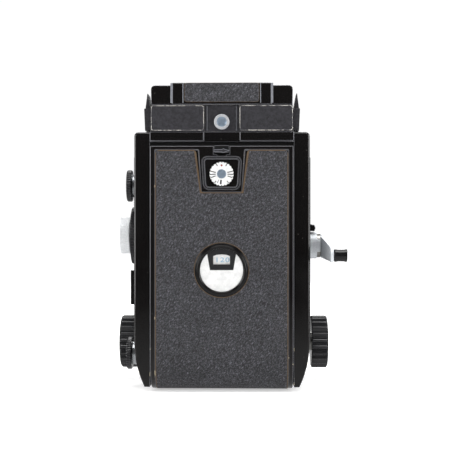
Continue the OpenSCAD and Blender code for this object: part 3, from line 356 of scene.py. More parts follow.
def turned_steel():
    # Turned bright steel: fine rings and a slightly darker tone than chrome.
    return plain("turned_steel", linear("9c9b98"), 0.32, metallic=1.0, grit=1800.0)


def machined_brass():
    # Cut gear brass: warm yellow, oily and a little tarnished.
    return plain("machined_brass", look().brass, 0.34, metallic=1.0, grit=1200.0)


def ivory_plastic():
    # Ivory white moulded plastic: smooth, half gloss.
    return plain("ivory_plastic", look().ivory, 0.34, grit=500.0, spread=0.02)


def black_plastic():
    # Gloss black phenolic moulding: deep black with soft bright edges.
    return plain("black_phenolic", linear("101011"), 0.2, grit=700.0)


def ribbed_phenolic():
    # Deeply ribbed black phenolic: gloss on the ribs, dull dust in the grooves.
    return plain("ribbed_phenolic", linear("222224"), 0.15, grit=700.0, spread=0.03)


def satin_black():
    # Satin black lacquer on turned brass: a low, even shine.
    return plain("satin_black_lacquer", linear("161617"), 0.34, grit=1500.0)


def cast_paint():
    # Matt black stove paint on a sand casting: dull, faintly grainy.
    return plain("painted_casting", linear("1c1c1d"), 0.6, grit=1400.0, depth=0.00008)


def blue_steel():
    # Blued steel rivet: grey-blue, softly polished.
    return plain("blued_steel", linear("8391a0"), 0.3, metallic=0.45, grit=1200.0)


def velvet_black():
    # Light-trap flock and dead-flat black inside the chambers.
    return plain("flat_black", linear("101010"), 0.85, grit=2500.0, depth=0.00008)


def bellows_cloth():
    # Rubberised bellows cloth: fine woven grain, low sheen.
    return plain("rubberised_bellows_cloth", linear("1a1a1b"), 0.62, grit=2600.0, depth=0.00008)


def grey_ring():
    # Clear anodised alloy ring: mid grey satin.
    return plain("anodised_ring", linear("8b8c8e"), 0.33, metallic=1.0, grit=1700.0)


def raw_edge():
    # Cut edge of the leatherette: brown backing cloth, dry and fibrous.
    return plain("leather_cut_edge", look().raw_edge, 0.8, grit=1800.0, depth=0.0001)


def black_ink():
    # Printed black line: flat and slightly grey.
    return plain("printing_ink", linear("1d1d1f"), 0.5)


def blue_ink():
    # Pale blue printed numerals.
    return plain("pale_blue_ink", linear("7fa9c4"), 0.45)


def red_ink():
    # Red-brown index dot.
    return plain("index_dot_ink", linear("7c2a1c"), 0.45)


def mirror_glass():
    # Front-silvered mirror.
    return plain("silvered_mirror", linear("e4e6e6"), 0.04, metallic=1.0, spread=0.02, depth=0.0)


def ground_glass():
    # Ground glass: milky and matt on its lower face.
    return plain("milky_ground_glass", linear("c9cdc9"), 0.5, grit=3000.0)


def frosted_ring():
    # Etched alloy rim: an even pale grey with no sharp glints.
    return plain("etched_alloy", linear("a8aaad"), 0.5, metallic=0.2, grit=900.0)


def coated_glass():
    # Coated optical glass: dark and clear with a purple-blue bloom.
    mat, tree, shader, place = blank("coated_glass")
    if not tree:
        return mat
    film = add(tree, "ShaderNodeTexNoise", sockets={"Vector": place, "Scale": 40.0, "Detail": 2.0})
    tint = add(tree, "ShaderNodeMix", {"data_type": "RGBA"}, {0: film.outputs[0], 6: rgba(linear("0e0c14")),
                                                              7: rgba(linear("141a26"))})
    tree.links.new(tint.outputs[2], shader.inputs["Base Color"])
    set_shader(shader, Roughness=0.03, IOR=1.6, Alpha=0.62)
    shader.inputs["Coat Weight"].default_value = 1.0
    shader.inputs["Coat Tint"].default_value = rgba(linear("9a8cff"))
    mat.blend_method = "BLEND"
    return mat


# ---------- working with shapes ----------
def only(*objs):
    bpy.ops.object.select_all(action="DESELECT")
    for o in objs:
        o.select_set(True)
    bpy.context.view_layer.objects.active = objs[0]


def edit(obj, mode="FACE"):
    only(obj)
    bpy.ops.object.mode_set(mode="EDIT")
    bpy.ops.mesh.select_mode(type=mode)
    bpy.ops.mesh.select_all(action="DESELECT")


def leave():
    bpy.ops.object.mode_set(mode="OBJECT")


def pick(obj, kind, test):
    """Selects, in edit mode, the verts, edges or faces that pass a test. Returns how many."""
    bm = bmesh.from_edit_mesh(obj.data)
    for v in bm.verts:
        v.select_set(False)
    for e in bm.edges:
        e.select_set(False)
    for f in bm.faces:
        f.select_set(False)
    hit = [x for x in getattr(bm, kind) if test(x)]
    for x in hit:
        x.select_set(True)
    bmesh.update_edit_mesh(obj.data)
    return len(hit)


def middle(e):
    return (e.verts[0].co + e.verts[1].co) / 2 / MM


def runs(e, axis):
    d = e.verts[1].co - e.verts[0].co
    return d.length > 1e-7 and abs(d[axis]) / d.length > 0.98


def near(a, *values, tol=0.25):
    return any(abs(a - v) < tol for v in values)


def soften(obj, width, segments=2, angle=32, edge_slot=None, clamp=True):
    """Rounds every sharp edge of a piece and smooths its shading."""
    mod = obj.modifiers.new("round", "BEVEL")
    mod.width = width
    mod.segments = segments
    mod.limit_method = "ANGLE"
    mod.angle_limit = math.radians(angle)
    mod.use_clamp_overlap = clamp
    mod.miter_outer = "MITER_ARC"
    if edge_slot is not None:
        mod.material = edge_slot
    only(obj)
    bpy.ops.object.modifier_apply(modifier="round")
    smooth(obj)


def smooth(obj, angle=32):
    only(obj)
    bpy.ops.object.shade_smooth_by_angle(angle=math.radians(angle))
    weigh = obj.modifiers.new("weigh", "WEIGHTED_NORMAL")
    weigh.keep_sharp = True
    bpy.ops.object.modifier_apply(modifier="weigh")


def dress(obj, *materials):
    obj.data.materials.clear()
    for m in materials:
        obj.data.materials.append(m)


def belongs(obj, body, slot, *nodes):
    """Puts a finished piece on its body and in place of its CAD nodes; its slot is not used."""
    only(obj)
    bpy.ops.object.transform_apply(location=True, rotation=True, scale=True)
    if body:
        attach(obj, body)
    if nodes:
        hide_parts(*nodes)
    return obj


def shaped(node, body, slot, materials, width=0.3, segments=2, rounds=(), angle=32, clamp=True):
    """A finer copy of a CAD node: merged, its chosen edges rounded, then every sharp edge softened."""
    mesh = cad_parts[node].data.copy()
    obj = bpy.data.objects.new(node + "_shaped", mesh)
    bpy.context.scene.collection.objects.link(obj)
    dress(obj, *materials)
    edit(obj, "VERT")
    bpy.ops.mesh.select_all(action="SELECT")
    bpy.ops.mesh.remove_doubles(threshold=2e-6)
    bpy.ops.mesh.dissolve_limited(angle_limit=math.radians(0.4))
    bpy.ops.mesh.select_mode(type="EDGE")
    for test, radius, steps in rounds:
        if pick(obj, "edges", test):
            bpy.ops.mesh.bevel(offset=radius * MM, segments=steps, affect="EDGES", clamp_overlap=clamp)
    leave()
    for p in obj.data.polygons:
        p.material_index = 0
    soften(obj, width * MM, segments, angle, 1 if len(materials) > 1 else None, clamp)
    return belongs(obj, body, slot, node)


def solids(node):
    """The box of each separate solid of a CAD node, in mm."""
    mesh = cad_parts[node].data
    root = list(range(len(mesh.vertices)))

    def find(k):
        while root[k] != k:
            root[k] = root[root[k]]
            k = root[k]
        return k

    seen = {}
    for v in mesh.vertices:
        key = tuple(round(c, 6) for c in v.co)
        root[find(v.index)] = find(seen.setdefault(key, v.index))
    for p in mesh.polygons:
        for v in p.vertices[1:]:
            root[find(v)] = find(p.vertices[0])
    groups = {}
    for v in mesh.vertices:
        groups.setdefault(find(v.index), []).append(v.co / MM)
    return [tuple(Vector([far(p[k] for p in pts) for k in range(3)]) for far in (min, max))
            for pts in groups.values()]


def turned(name, profile, axis, centre, steps=72):
    """A turned piece: a closed outline of (radius, distance) pairs in mm, spun about an axis."""
    bpy.ops.object.select_all(action="DESELECT")
    bpy.ops.mesh.primitive_circle_add(vertices=len(profile), radius=0.01)
    obj = bpy.context.object
    obj.name = name
    lay = {"X": lambda r, h: (h, r, 0), "Y": lambda r, h: (r, h, 0), "Z": lambda r, h: (r, 0, h)}[axis]
    for v, (r, h) in zip(obj.data.vertices, profile):
        v.co = Vector(lay(r, h)) * MM
    edit(obj, "VERT")
    bpy.ops.mesh.select_all(action="SELECT")
    turn = {"X": (1, 0, 0), "Y": (0, 1, 0), "Z": (0, 0, 1)}[axis]
    bpy.ops.mesh.spin(steps=steps, angle=math.tau, center=(0, 0, 0), axis=turn)
    bpy.ops.mesh.select_all(action="SELECT")
    bpy.ops.mesh.remove_doubles(threshold=2e-6)
    bpy.ops.mesh.delete_loose(use_verts=True, use_edges=True, use_faces=False)
    bpy.ops.mesh.select_all(action="SELECT")
    bpy.ops.mesh.normals_make_consistent(inside=False)
    leave()
    obj.location = Vector(centre) * MM
    only(obj)
    bpy.ops.object.transform_apply(location=True, rotation=True, scale=True)
    return obj


def fluted(obj, axis, centre, inner, count, depth, flat=1.0, span=None):
    """Cuts grooves into the rim of a turned piece, beyond the inner radius."""
    k = "XYZ".index(axis)
    a, b = [i for i in range(3) if i != k]
    for v in obj.data.vertices:
        p = v.co / MM - Vector(centre)
        if span and not span[0] <= v.co[k] / MM <= span[1]:
            continue
        r = math.hypot(p[a], p[b])
        if r < inner:
            continue
        wave = 0.5 + 0.5 * math.cos(count * math.atan2(p[b], p[a]))
        drop = depth * wave ** flat
        s = (r - drop) / r
        v.co[a] = (centre[a] + p[a] * s) * MM
        v.co[b] = (centre[b] + p[b] * s) * MM
    obj.data.update()


def plate(name, outline, y, corner=0.0, steps=5):
    """A flat face in the XZ plane at a depth, facing the rear, left in edit mode and selected."""
    bpy.ops.object.select_all(action="DESELECT")
    bpy.ops.mesh.primitive_circle_add(vertices=len(outline), radius=0.01, fill_type="NGON")
    obj = bpy.context.object
    obj.name = name
    for v, (x, z) in zip(obj.data.vertices, outline):
        v.co = Vector((x, y, z)) * MM
    edit(obj, "VERT")
    bpy.ops.mesh.select_all(action="SELECT")
    if corner:
        bpy.ops.mesh.bevel(offset=corner * MM, segments=steps, affect="VERTICES")
    bpy.ops.mesh.select_mode(type="FACE")
    bpy.ops.mesh.select_all(action="SELECT")
    bm = bmesh.from_edit_mesh(obj.data)
    for f in bm.faces:
        f.normal_update()
        if f.normal.y > 0:
            f.normal_flip()
    bmesh.update_edit_mesh(obj.data)
    return obj


def raise_face(mm):
    """Extrudes the selected face towards the rear, or away with a minus."""
    bpy.ops.mesh.extrude_region_move(TRANSFORM_OT_translate={"value": (0, -mm * MM, 0)})


def inset(mm):
    bpy.ops.mesh.inset(thickness=mm * MM, depth=0)


def slab(name, outline, y, thick, corner=0.0, steps=5):
    """A closed slab from an outline, its front face at y - thick."""
    obj = plate(name, outline, y, corner, steps)
    bpy.ops.mesh.duplicate()
    bpy.ops.mesh.flip_normals()
    pick(obj, "faces", lambda f: f.normal.y < 0)
    raise_face(thick)
    bpy.ops.mesh.select_all(action="SELECT")
    bpy.ops.mesh.remove_doubles(threshold=2e-6)
    bpy.ops.mesh.normals_make_consistent(inside=False)
    leave()
    return obj


def box(node):
    """Lowest and highest corner of a CAD node in mm."""
    low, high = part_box(node)
    return Vector(low) / MM, Vector(high) / MM


def rounded(obj, width, segments=2, angle=32):
    soften(obj, width * MM, segments, angle)
    return obj


def join(*objs):
    only(*objs)
    bpy.ops.object.join()
    return objs[0]


def lettering(name, text, height, centre, y, depth=0.12, spread=1.0, gap=1.0):
    """Plain figures standing a little proud, read from the rear."""
    bpy.ops.object.select_all(action="DESELECT")
    bpy.ops.object.text_add()
    obj = bpy.context.object
    obj.name = name
    obj.data.body = text
    obj.data.align_x = "CENTER"
    obj.data.align_y = "CENTER"
    obj.data.size = height * 1.4 * MM
    obj.data.extrude = depth * MM
    obj.data.resolution_u = 4
    obj.data.space_character = gap
    only(obj)
    bpy.ops.object.convert(target="MESH")
    obj = bpy.context.object
    obj.rotation_euler = (math.pi / 2, 0, 0)
    obj.location = Vector((centre[0], y, centre[1])) * MM
    obj.scale = (spread, 1, 1)
    bpy.ops.object.transform_apply(location=True, rotation=True, scale=True)
    return obj


# ---------- body ----------
class CAMERA_OT_covers(bpy.types.Operator):
    """Enamelled side covers whose edges show wear and a painted highlight, and their leather"""
    bl_idname = "camera.covers"
    bl_label = "Side covers"

    def execute(self, context):
        for side in ("left", "right"):
            node = side + "_side_cover"
            low, high = box(node)
            half = max(-low.x, high.x)

            def rear_edge(e):
                m = middle(e)
                outer = abs(m.x) > half - 1 or (m.z > high.z - 4.8 and abs(m.x) > half - 8)
                return near(m.y, low.y) and not runs(e, 1) and outer

            shaped(node, "body", "black_enamel", (gloss_enamel(), worn_enamel()), width=0.35, segments=2,
                   clamp=False, rounds=[(rear_edge, 1.5, 5)])
        shaped("side_leathers", "body", "leatherette", (leatherette(), raw_edge()), width=0.25,
               rounds=[(lambda e: runs(e, 0), 3.0, 6)])
        return {"FINISHED"}


class CAMERA_OT_casting(bpy.types.Operator):
    """Main casting, base plate and top deck"""
    bl_idname = "camera.casting"
    bl_label = "Casting, base and top deck"

    def execute(self, context):
        dress(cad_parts["main_casting"], cast_paint())
        shaped("base_plate", "body", "black_enamel", (gloss_enamel(), worn_enamel()), width=0.3)
        shaped("top_deck", "body", "black_enamel", (gloss_enamel(), worn_enamel()), width=0.3, clamp=False)
        return {"FINISHED"}


# ---------- back ----------
class CAMERA_OT_door(bpy.types.Operator):
    """Hinged back with its leather, cut edges showing"""
    bl_idname = "camera.door"
    bl_label = "Hinged back"

    def execute(self, context):
        shaped("back_door", "back", "black_enamel", (gloss_enamel(), worn_enamel()), width=0.35, clamp=False)
        low, high = box("back_leather")
        r = size().leather_corner / MM
        top = high.z

        def outer(e):
            m = middle(e)
            return runs(e, 1) and near(m.z, top) and near(abs(m.x), high.x)

        def notch(e):
            m = middle(e)
            return runs(e, 1) and m.z > 100 and abs(m.x) < 15

        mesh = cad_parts["back_leather"].data.copy()
        obj = bpy.data.objects.new("back_leather_panel", mesh)
        context.scene.collection.objects.link(obj)
        dress(obj, leatherette(trimmed=True), raw_edge())
        edit(obj, "VERT")
        bpy.ops.mesh.select_all(action="SELECT")
        bpy.ops.mesh.remove_doubles(threshold=2e-6)
        bpy.ops.mesh.select_mode(type="EDGE")
        leave()
        for v in obj.data.vertices:
            if near(v.co.z / MM, top) and abs(v.co.x / MM) < 14:
                v.co.x *= 1.1
        edit(obj, "EDGE")
        for test, radius in ((outer, r), (notch, 1.6)):
            if pick(obj, "edges", test):
                bpy.ops.mesh.bevel(offset=radius * MM, segments=6, affect="EDGES", clamp_overlap=True)
        leave()
        for p in obj.data.polygons:
            c = p.center / MM
            p.material_index = 1 if abs(p.normal.x) > 0.5 or (p.normal.z > 0.5 and c.z > 105) else 0
        soften(obj, 0.3 * MM, 2, 40, 1)
        belongs(obj, "back", "leatherette", "back_leather")
        return {"FINISHED"}


class CAMERA_OT_catch(bpy.types.Operator):
    """Sliding catch of the back: an arrow-shaped thumb piece with a small diamond"""
    bl_idname = "camera.catch"
    bl_label = "Catch"

    def execute(self, context):
        low, high = box("door_catch")
        z = low.z + 0.5
        tongue = slab("catch_tongue", [(-4, z), (4, z), (4, high.z), (-4, high.z)], high.y, high.y - low.y - 1.6)
        dress(tongue, satin_black(), worn_enamel())
        soften(tongue, 0.3 * MM, 2, 32, 1)
        c = low.z + 1.4
        arrow = [(-4.3, c - 0.55), (0.4, c - 0.75), (0.4, c - 1.3), (4.4, c + 0.1), (0.5, c + 1.4),
                 (0.5, c + 0.85), (-4.1, c + 0.7)]
        thumb = slab("catch_thumb", arrow, low.y + 1.4, 1.3)
        # The arrow's edges take the painted highlight grey, which outlines it
        dress(thumb, matt_paint(), edge_highlight_grey())
        soften(thumb, 0.3 * MM, 2, 32, 1)
        piece = join(tongue, thumb)
        piece.name = "catch_piece"
        belongs(piece, "door_catch", "black_enamel", "door_catch")
        return {"FINISHED"}


class CAMERA_OT_memo(bpy.types.Operator):
    """Reminder dial: ridged frame, scalloped white dial, printed strokes"""
    bl_idname = "camera.memo"
    bl_label = "Reminder dial"

    def execute(self, context):
        low, high = box("memo_frame")
        mid = (low.z + high.z) / 2
        top, foot, half = high.x, high.x - 1.1, (high.z - low.z) / 2

        outline = [(-foot, mid - half), (foot, mid - half), (top, mid + half), (-top, mid + half)]
        obj = plate("memo_ridges", outline, high.y, 3.2, 6)
        bpy.ops.mesh.duplicate()
        bpy.ops.mesh.flip_normals()
        pick(obj, "faces", lambda f: f.normal.y < 0)
        raise_face(0.9)
        inset(0.5)
        raise_face(-0.5)
        inset(0.75)
        raise_face(0.6)
        inset(0.45)
        raise_face(-0.7)
        bpy.ops.mesh.select_all(action="SELECT")
        bpy.ops.mesh.remove_doubles(threshold=2e-6)
        leave()
        dress(obj, gloss_enamel(), worn_enamel())
        # The ridges' rounded edges take the edge enamel, whose grey draws painted highlight lines along them
        soften(obj, 0.16 * MM, 2, 32, edge_slot=1)
        dial_low, dial_high = box("memo_dial")
        cz = (dial_low.z + dial_high.z) / 2
        rivet = [(0, -1.0), (1.6, -1.0), (2.4, -0.85), (2.6, -0.6), (2.6, -0.35), (1.5, -0.35), (1.5, 0.9),
                 (0, 0.9)]
        hub = turned("memo_hub", rivet, "Y", (0, low.y + 1.1, cz), 40)
        rounded(hub, 0.08)
        dress(hub, blue_steel())
        belongs(join(obj, hub), "back", "black_enamel", "memo_frame")
        r = (dial_high.z - dial_low.z) / 2
        y0, y1 = dial_low.y, dial_high.y
        disc = [(1.55, y1), (r, y1), (r, y0 + 0.1), (r - 0.15, y0), (1.55, y0)]
        dial = turned("memo_disc", disc, "Y", (0, 0, cz), 192)
        fluted(dial, "Y", (0, 0, cz), r - 0.3, 24, 0.5, flat=3)
        smooth(dial)
        dress(dial, ivory_plastic())
        marks = []

        def stroke(name, radius, angle, long, thick):
            """A printed radial line at an angle on the dial."""
            a = math.radians(angle)
            out = (math.cos(a), math.sin(a))
            ends = ((-1, -1), (1, -1), (1, 1), (-1, 1))
            along = [(radius + i * long / 2, j * thick / 2) for i, j in ends]
            pts = [(out[0] * p - out[1] * q, cz + out[1] * p + out[0] * q) for p, q in along]
            mark = slab(name, pts, y0 + 0.05, 0.07)
            dress(mark, black_ink())
            marks.append(mark)

        long_lines = ((14, 3.0), (-3, 3.0), (-19, 2.6), (166, 3.0), (183, 3.0), (199, 2.6))
        short_lines = ((62, 1.4), (118, 1.4), (-52, 1.4), (232, 1.4))
        for k, (angle, long) in enumerate(long_lines + short_lines):
            stroke("memo_line_%d" % k, 4.7 if long > 2 else 5.5, angle, long, 0.5)
        stroke("memo_bold", 4.4, 265, 2.4, 0.9)
        stroke("memo_thin", 4.4, 245, 2.0, 0.3)
        spot = [(0, y0 - 0.03), (0.55, y0 - 0.03), (0.55, y0 + 0.05), (0, y0 + 0.05)]
        dot = turned("memo_dot", spot, "Y", (0, 0, cz + 4.6), 20)
        dress(dot, red_ink())
        belongs(join(dial, dot, *marks), "memo_dial", "white_plastic", "memo_dial")
        return {"FINISHED"}


class CAMERA_OT_window(bpy.types.Operator):
    """Film-format window: stepped ring, white face, black mask and the numbered disc behind"""
    bl_idname = "camera.window"
    bl_label = "Film-format window"

    def execute(self, context):
        low, high = box("window_ring")
        cz = (low.z + high.z) / 2
        r = (high.z - low.z) / 2
        y0, y1 = low.y, high.y
        face_low, face_high = box("window_face")
        face_y, face_r = face_low.y, face_high.x
        bore = face_r + 0.05
        bezel = [(bore, y1), (r, y1), (r, y0 + 1.1), (r - 0.25, y0 + 0.75), (13.5, y0 + 0.55), (13.3, y0 + 0.15),
                 (12.9, y0), (12.3, y0 + 0.15), (12.1, y0 + 0.5), (bore, y0 + 0.6)]
        ring = turned("window_bezel", bezel, "Y", (0, 0, cz), 96)
        smooth(ring, 50)
        dress(ring, gloss_enamel())
        belongs(ring, "back", "black_enamel", "window_ring")
        shaped("window_face", "back", "white_plastic", (ivory_plastic(),), width=0.15)
        # The mask runs up into the ring, so its upper edge follows the ring's curve
        angles = [math.radians(a) for a in range(-42, 43, 6)]
        pts = [(face_r * math.sin(a), cz + face_r * math.cos(a)) for a in angles] + [(6.3, cz), (-6.3, cz)]
        mask = plate("window_mask", pts, face_y + 0.02)
        bpy.ops.mesh.duplicate()
        bpy.ops.mesh.flip_normals()
        pick(mask, "faces", lambda f: f.normal.y < 0)
        raise_face(0.1)
        bpy.ops.mesh.select_all(action="SELECT")
        bpy.ops.mesh.remove_doubles(threshold=2e-6)
        leave()
        # Its own opening, cut with a small arched block
        hole = [(-4.5, cz + 3.1), (4.5, cz + 3.1), (4.5, cz + 7.6), (2.6, cz + 8.3), (0, cz + 8.5),
                (-2.6, cz + 8.3), (-4.5, cz + 7.6)]
        cutter = slab("window_cutter", hole, face_y + 2, 4)
        cut = mask.modifiers.new("cut", "BOOLEAN")
        cut.object = cutter
        cut.solver = "EXACT"
        only(mask)
        bpy.ops.object.modifier_apply(modifier="cut")
        bpy.data.objects.remove(cutter)
        dress(mask, black_ink())
        belongs(mask, "back", "black_enamel")
        disc_y = box("format_disc")[0].y
        digits = lettering("format_figures", "120", 2.6, (0.3, cz + 5.4), disc_y, 0.06, 1.35, 1.15)
        dress(digits, blue_ink())
        belongs(digits, "pressure_plate", "white_plastic")
        dress(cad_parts["format_disc"], ivory_plastic())
        return {"FINISHED"}


# ---------- finder and hood ----------
class CAMERA_OT_finder(bpy.types.Operator):
    """Hood base with its matt paint, its edges worn and lightened as a painted highlight, and the chrome button that
    springs the hood
    """
    bl_idname = "camera.finder"
    bl_label = "Finder base and button"

    def execute(self, context):
        shaped("finder_base", "body", "matt_black", (matt_paint(), rubbed_paint()), width=0.2)
        low, high = box("finder_base")
        foot, head = low.z + 0.7, box("hood_lid")[0].z - 0.5
        panel_inner, panel_outer, step_x = 9.8, high.x - 4.2, 8.0
        for side in (-1, 1):
            x0, x1 = sorted((side * panel_inner, side * panel_outer))
            panel = slab("finder_panel_%d" % (side > 0), [(x0, foot), (x1, foot), (x1, head), (x0, head)],
                         low.y + 0.1, 0.4, 1.3, 5)
            dress(panel, matt_paint(), rubbed_paint())
            soften(panel, 0.3 * MM, 2, 32, 1)
            belongs(panel, "body", "matt_black")
            x0, x1 = side * step_x - 0.25, side * step_x + 0.25
            step = slab("finder_step_%d" % (side > 0),
                        [(x0, foot + 0.1), (x1, foot + 0.1), (x1, head - 0.1), (x0, head - 0.1)],
                        low.y + 1.05, 0.5)
            # The step's edges take the painted highlight grey
            dress(step, matt_paint(), edge_highlight_grey())
            soften(step, 0.12 * MM, 2, 32, 1)
            belongs(step, "body", "matt_black")
        low, high = box("finder_button")
        cz, r = (low.z + high.z) / 2, (high.z - low.z) / 2
        y0, y1 = low.y, high.y
        cap = [(0, y0 + 0.75), (1.2, y0 + 0.68), (2.3, y0 + 0.42), (2.75, y0 + 0.12), (3.1, y0),
               (r - 0.5, y0 + 0.05), (r - 0.1, y0 + 0.35), (r, y0 + 0.7), (r, y0 + 1.2), (2.9, y0 + 1.2),
               (2.9, y1), (0, y1)]
        button = turned("finder_button_cap", cap, "Y", (0, 0, cz), 64)
        smooth(button, 50)
        dress(button, frosted_ring(), blue_steel())
        for p in button.data.polygons:
            c = p.center / MM
            p.material_index = 1 if math.hypot(c.x, c.z - cz) < 2.7 and c.y < y0 + 1.5 else 0
        belongs(button, "finder_button", "chrome", "finder_button")
        return {"FINISHED"}


class CAMERA_OT_hood(bpy.types.Operator):
    """Folding hood: glossy lid with ribs and a leather strip, flaps and magnifier"""
    bl_idname = "camera.hood"
    bl_label = "Hood"

    def execute(self, context):
        low, high = box("hood_lid")

        def top_corner(e):
            m = middle(e)
            return runs(e, 1) and abs(m.x) > high.x - 0.6 and m.z > high.z - 3.5

        def rear_edge(e):
            m = middle(e)
            near_corner = m.z > high.z - 4.1 and abs(m.x) > high.x - 2.8
            outer = near_corner or m.z > high.z - 1.9 or abs(m.x) > high.x - 0.6
            return near(m.y, low.y) and not runs(e, 1) and outer

        shaped("hood_lid", "hood_lid", "black_enamel", (gloss_enamel(), worn_enamel()), width=0.35, segments=3,
               clamp=False, rounds=[(top_corner, 2.6, 6), (rear_edge, 0.9, 4)])
        y, strip_half, strip_foot, strip_head = low.y, 20.4, low.z + 1.4, high.z - 0.1
        strip = slab("hood_strip", [(-strip_half, strip_foot), (strip_half, strip_foot), (strip_half, strip_head),
                                    (-strip_half, strip_head)], y + 0.25, 0.3, 1.4, 4)
        dress(strip, leatherette(), raw_edge())
        for p in strip.data.polygons:
            p.material_index = 0 if p.normal.y < -0.5 else 1
        soften(strip, 0.2 * MM, 2, 32, edge_slot=1)
        belongs(strip, "hood_lid", "leatherette")
        rib_foot = low.z + 0.9
        # Ribs beside the strip, coloured all over in the painted highlight grey that stands in for the light along
        # the lid's raised edges
        for side in (-1, 1):
            for x, w, tall in ((27.3, 1.3, 10.9), (21.1, 0.5, 10.7)):
                x0, x1, rib_head = side * x - w / 2, side * x + w / 2, rib_foot + tall
                rib = slab("hood_rib_%d_%d" % (x, side > 0),
                           [(x0, rib_foot), (x1, rib_foot), (x1, rib_head), (x0, rib_head)], y + 0.3, 0.4)
                rounded(rib, 0.12)
                dress(rib, edge_highlight_grey())
                belongs(rib, "hood_lid", "black_enamel")
        for node in ("hood_left_flap", "hood_right_flap", "hood_rear_flap"):
            shaped(node, node, "matt_black", (matt_paint(), rubbed_paint()), width=0.1)
        shaped("magnifier_holder", "hood_lid", "matt_black", (matt_paint(), rubbed_paint()), width=0.2)
        low, high = box("magnifier_lens")
        c = (low + high) / 2
        r = (high.x - low.x) / 2
        outline = [(0, low.z), (r * 0.5, low.z + 0.06), (r, low.z + 0.35), (r, high.z - 0.35),
                   (r * 0.5, high.z - 0.06), (0, high.z)]
        lens = turned("magnifier_glass", outline, "Z", (c.x, c.y, 0), 72)
        smooth(lens, 30)
        dress(lens, coated_glass())
        belongs(lens, "hood_lid", "glass", "magnifier_lens")
        return {"FINISHED"}


# ---------- controls on the left ----------
def cover_skin():
    """Where the outside of the left side cover lies, in mm."""
    return box("left_side_cover")[0].x


def knob_on_side(node, body, ribs):
    """A knurled spool knob with a stepped rim, a neck and a slotted rivet."""
    low, high = box(node)
    cy, cz = (low.y + high.y) / 2, (low.z + high.z) / 2
    r = (high.z - low.z) / 2
    out, inner, skin = low.x, high.x, cover_skin()
    profile = [(0, out), (4.4, out), (4.6, out + 0.25), (r - 1.2, out + 0.3), (r - 0.5, out + 0.05),
               (r - 0.1, out + 0.5), (r, out + 0.9), (r, out + 2.5), (r - 0.4, out + 2.85), (5.4, out + 2.9),
               (5.0, out + 3.0), (5.0, skin + 2.5), (2.0, skin + 2.5), (2.0, inner), (0, inner)]
    knob = turned(node + "_turned", profile, "X", (0, cy, cz), ribs * 5)
    fluted(knob, "X", (0, cy, cz), r - 0.7, ribs, 0.5, flat=2, span=(out + 0.35, out + 2.4))
    smooth(knob, 38)
    dress(knob, ribbed_phenolic())
    rings = [(5.02, 2.6), (6.1, 2.6), (6.3, 2.3), (6.3, 1.7), (6.0, 1.5), (6.0, 1.2), (6.3, 1.0), (6.3, 0.4),
             (6.1, 0.2), (5.02, 0.2)]
    collar = turned(node + "_collar", [(a, skin - b) for a, b in rings], "X", (0, cy, cz), 72)
    smooth(collar, 38)
    dress(collar, satin_chrome())
    belongs(collar, body, "bright_steel")
    return belongs(knob, body, "black_enamel", node)


class CAMERA_OT_spool_knobs(bpy.types.Operator):
    """Knurled knobs that free the film spools"""
    bl_idname = "camera.spool_knobs"
    bl_label = "Spool knobs"

    def execute(self, context):
        for node in ("takeup_knob", "supply_knob"):
            knob_on_side(node, node, size().knurls)
        return {"FINISHED"}


class CAMERA_OT_lens_lock(bpy.types.Operator):
    """Lens lock wheel with its ribbed rim, and the dial in its middle"""
    bl_idname = "camera.lens_lock"
    bl_label = "Lens lock and dial"

    def execute(self, context):
        low, high = box("lens_lock_wheel")
        cy, cz, r = (low.y + high.y) / 2, (low.z + high.z) / 2, (high.z - low.z) / 2
        x0, x1 = cover_skin() - 0.2, low.x
        profile = [(2.1, x1), (11.2, x1), (12.4, x1 + 0.12), (14.0, x1 + 0.3), (15.3, x1 + 0.5),
                   (r - 0.2, x1 + 0.65), (r, x1 + 1.0), (r, x0 - 1.8), (r - 0.3, x0 - 1.5), (r - 1.5, x0 - 1.4),
                   (r - 1.6, x0), (5.0, x0), (5.0, high.x), (0, high.x), (0, x0 - 0.4), (2.1, x0 - 0.4)]
        wheel = turned("lens_lock_turned", profile, "X", (0, cy, cz), 240)
        fluted(wheel, "X", (0, cy, cz), r - 0.5, 60, 0.45, flat=2, span=(x1 + 0.75, x0 - 1.7))
        smooth(wheel, 38)
        dress(wheel, ribbed_phenolic())
        belongs(wheel, "lens_lock_wheel", "black_enamel", "lens_lock_wheel")
        low, high = box("selector_dial")
        r = (high.z - low.z) / 2
        out, base = low.x, x1 - 0.4
        profile = [(0, out + 0.5), (1.2, out + 0.4), (1.4, out + 0.6), (6.2, out + 0.6), (6.6, out + 0.1),
                   (7.0, out), (r - 0.4, out), (r, out + 0.4), (r, base - 0.3), (r - 0.3, base), (2, base),
                   (2, high.x), (0, high.x)]
        dial = turned("selector_turned", profile, "X", (0, cy, cz), 180)
        fluted(dial, "X", (0, cy, cz), r - 0.2, 45, 0.35, flat=2, span=(out + 0.5, base - 0.2))
        smooth(dial, 38)
        dress(dial, blasted_chrome())
        belongs(dial, "selector_dial", "chrome", "selector_dial")
        return {"FINISHED"}


class CAMERA_OT_shoe(bpy.types.Operator):
    """Accessory shoe"""
    bl_idname = "camera.shoe"
    bl_label = "Accessory shoe"

    def execute(self, context):
        shaped("flash_shoe", "body", "black_enamel", (gloss_enamel(), worn_enamel()), width=0.25)
        return {"FINISHED"}


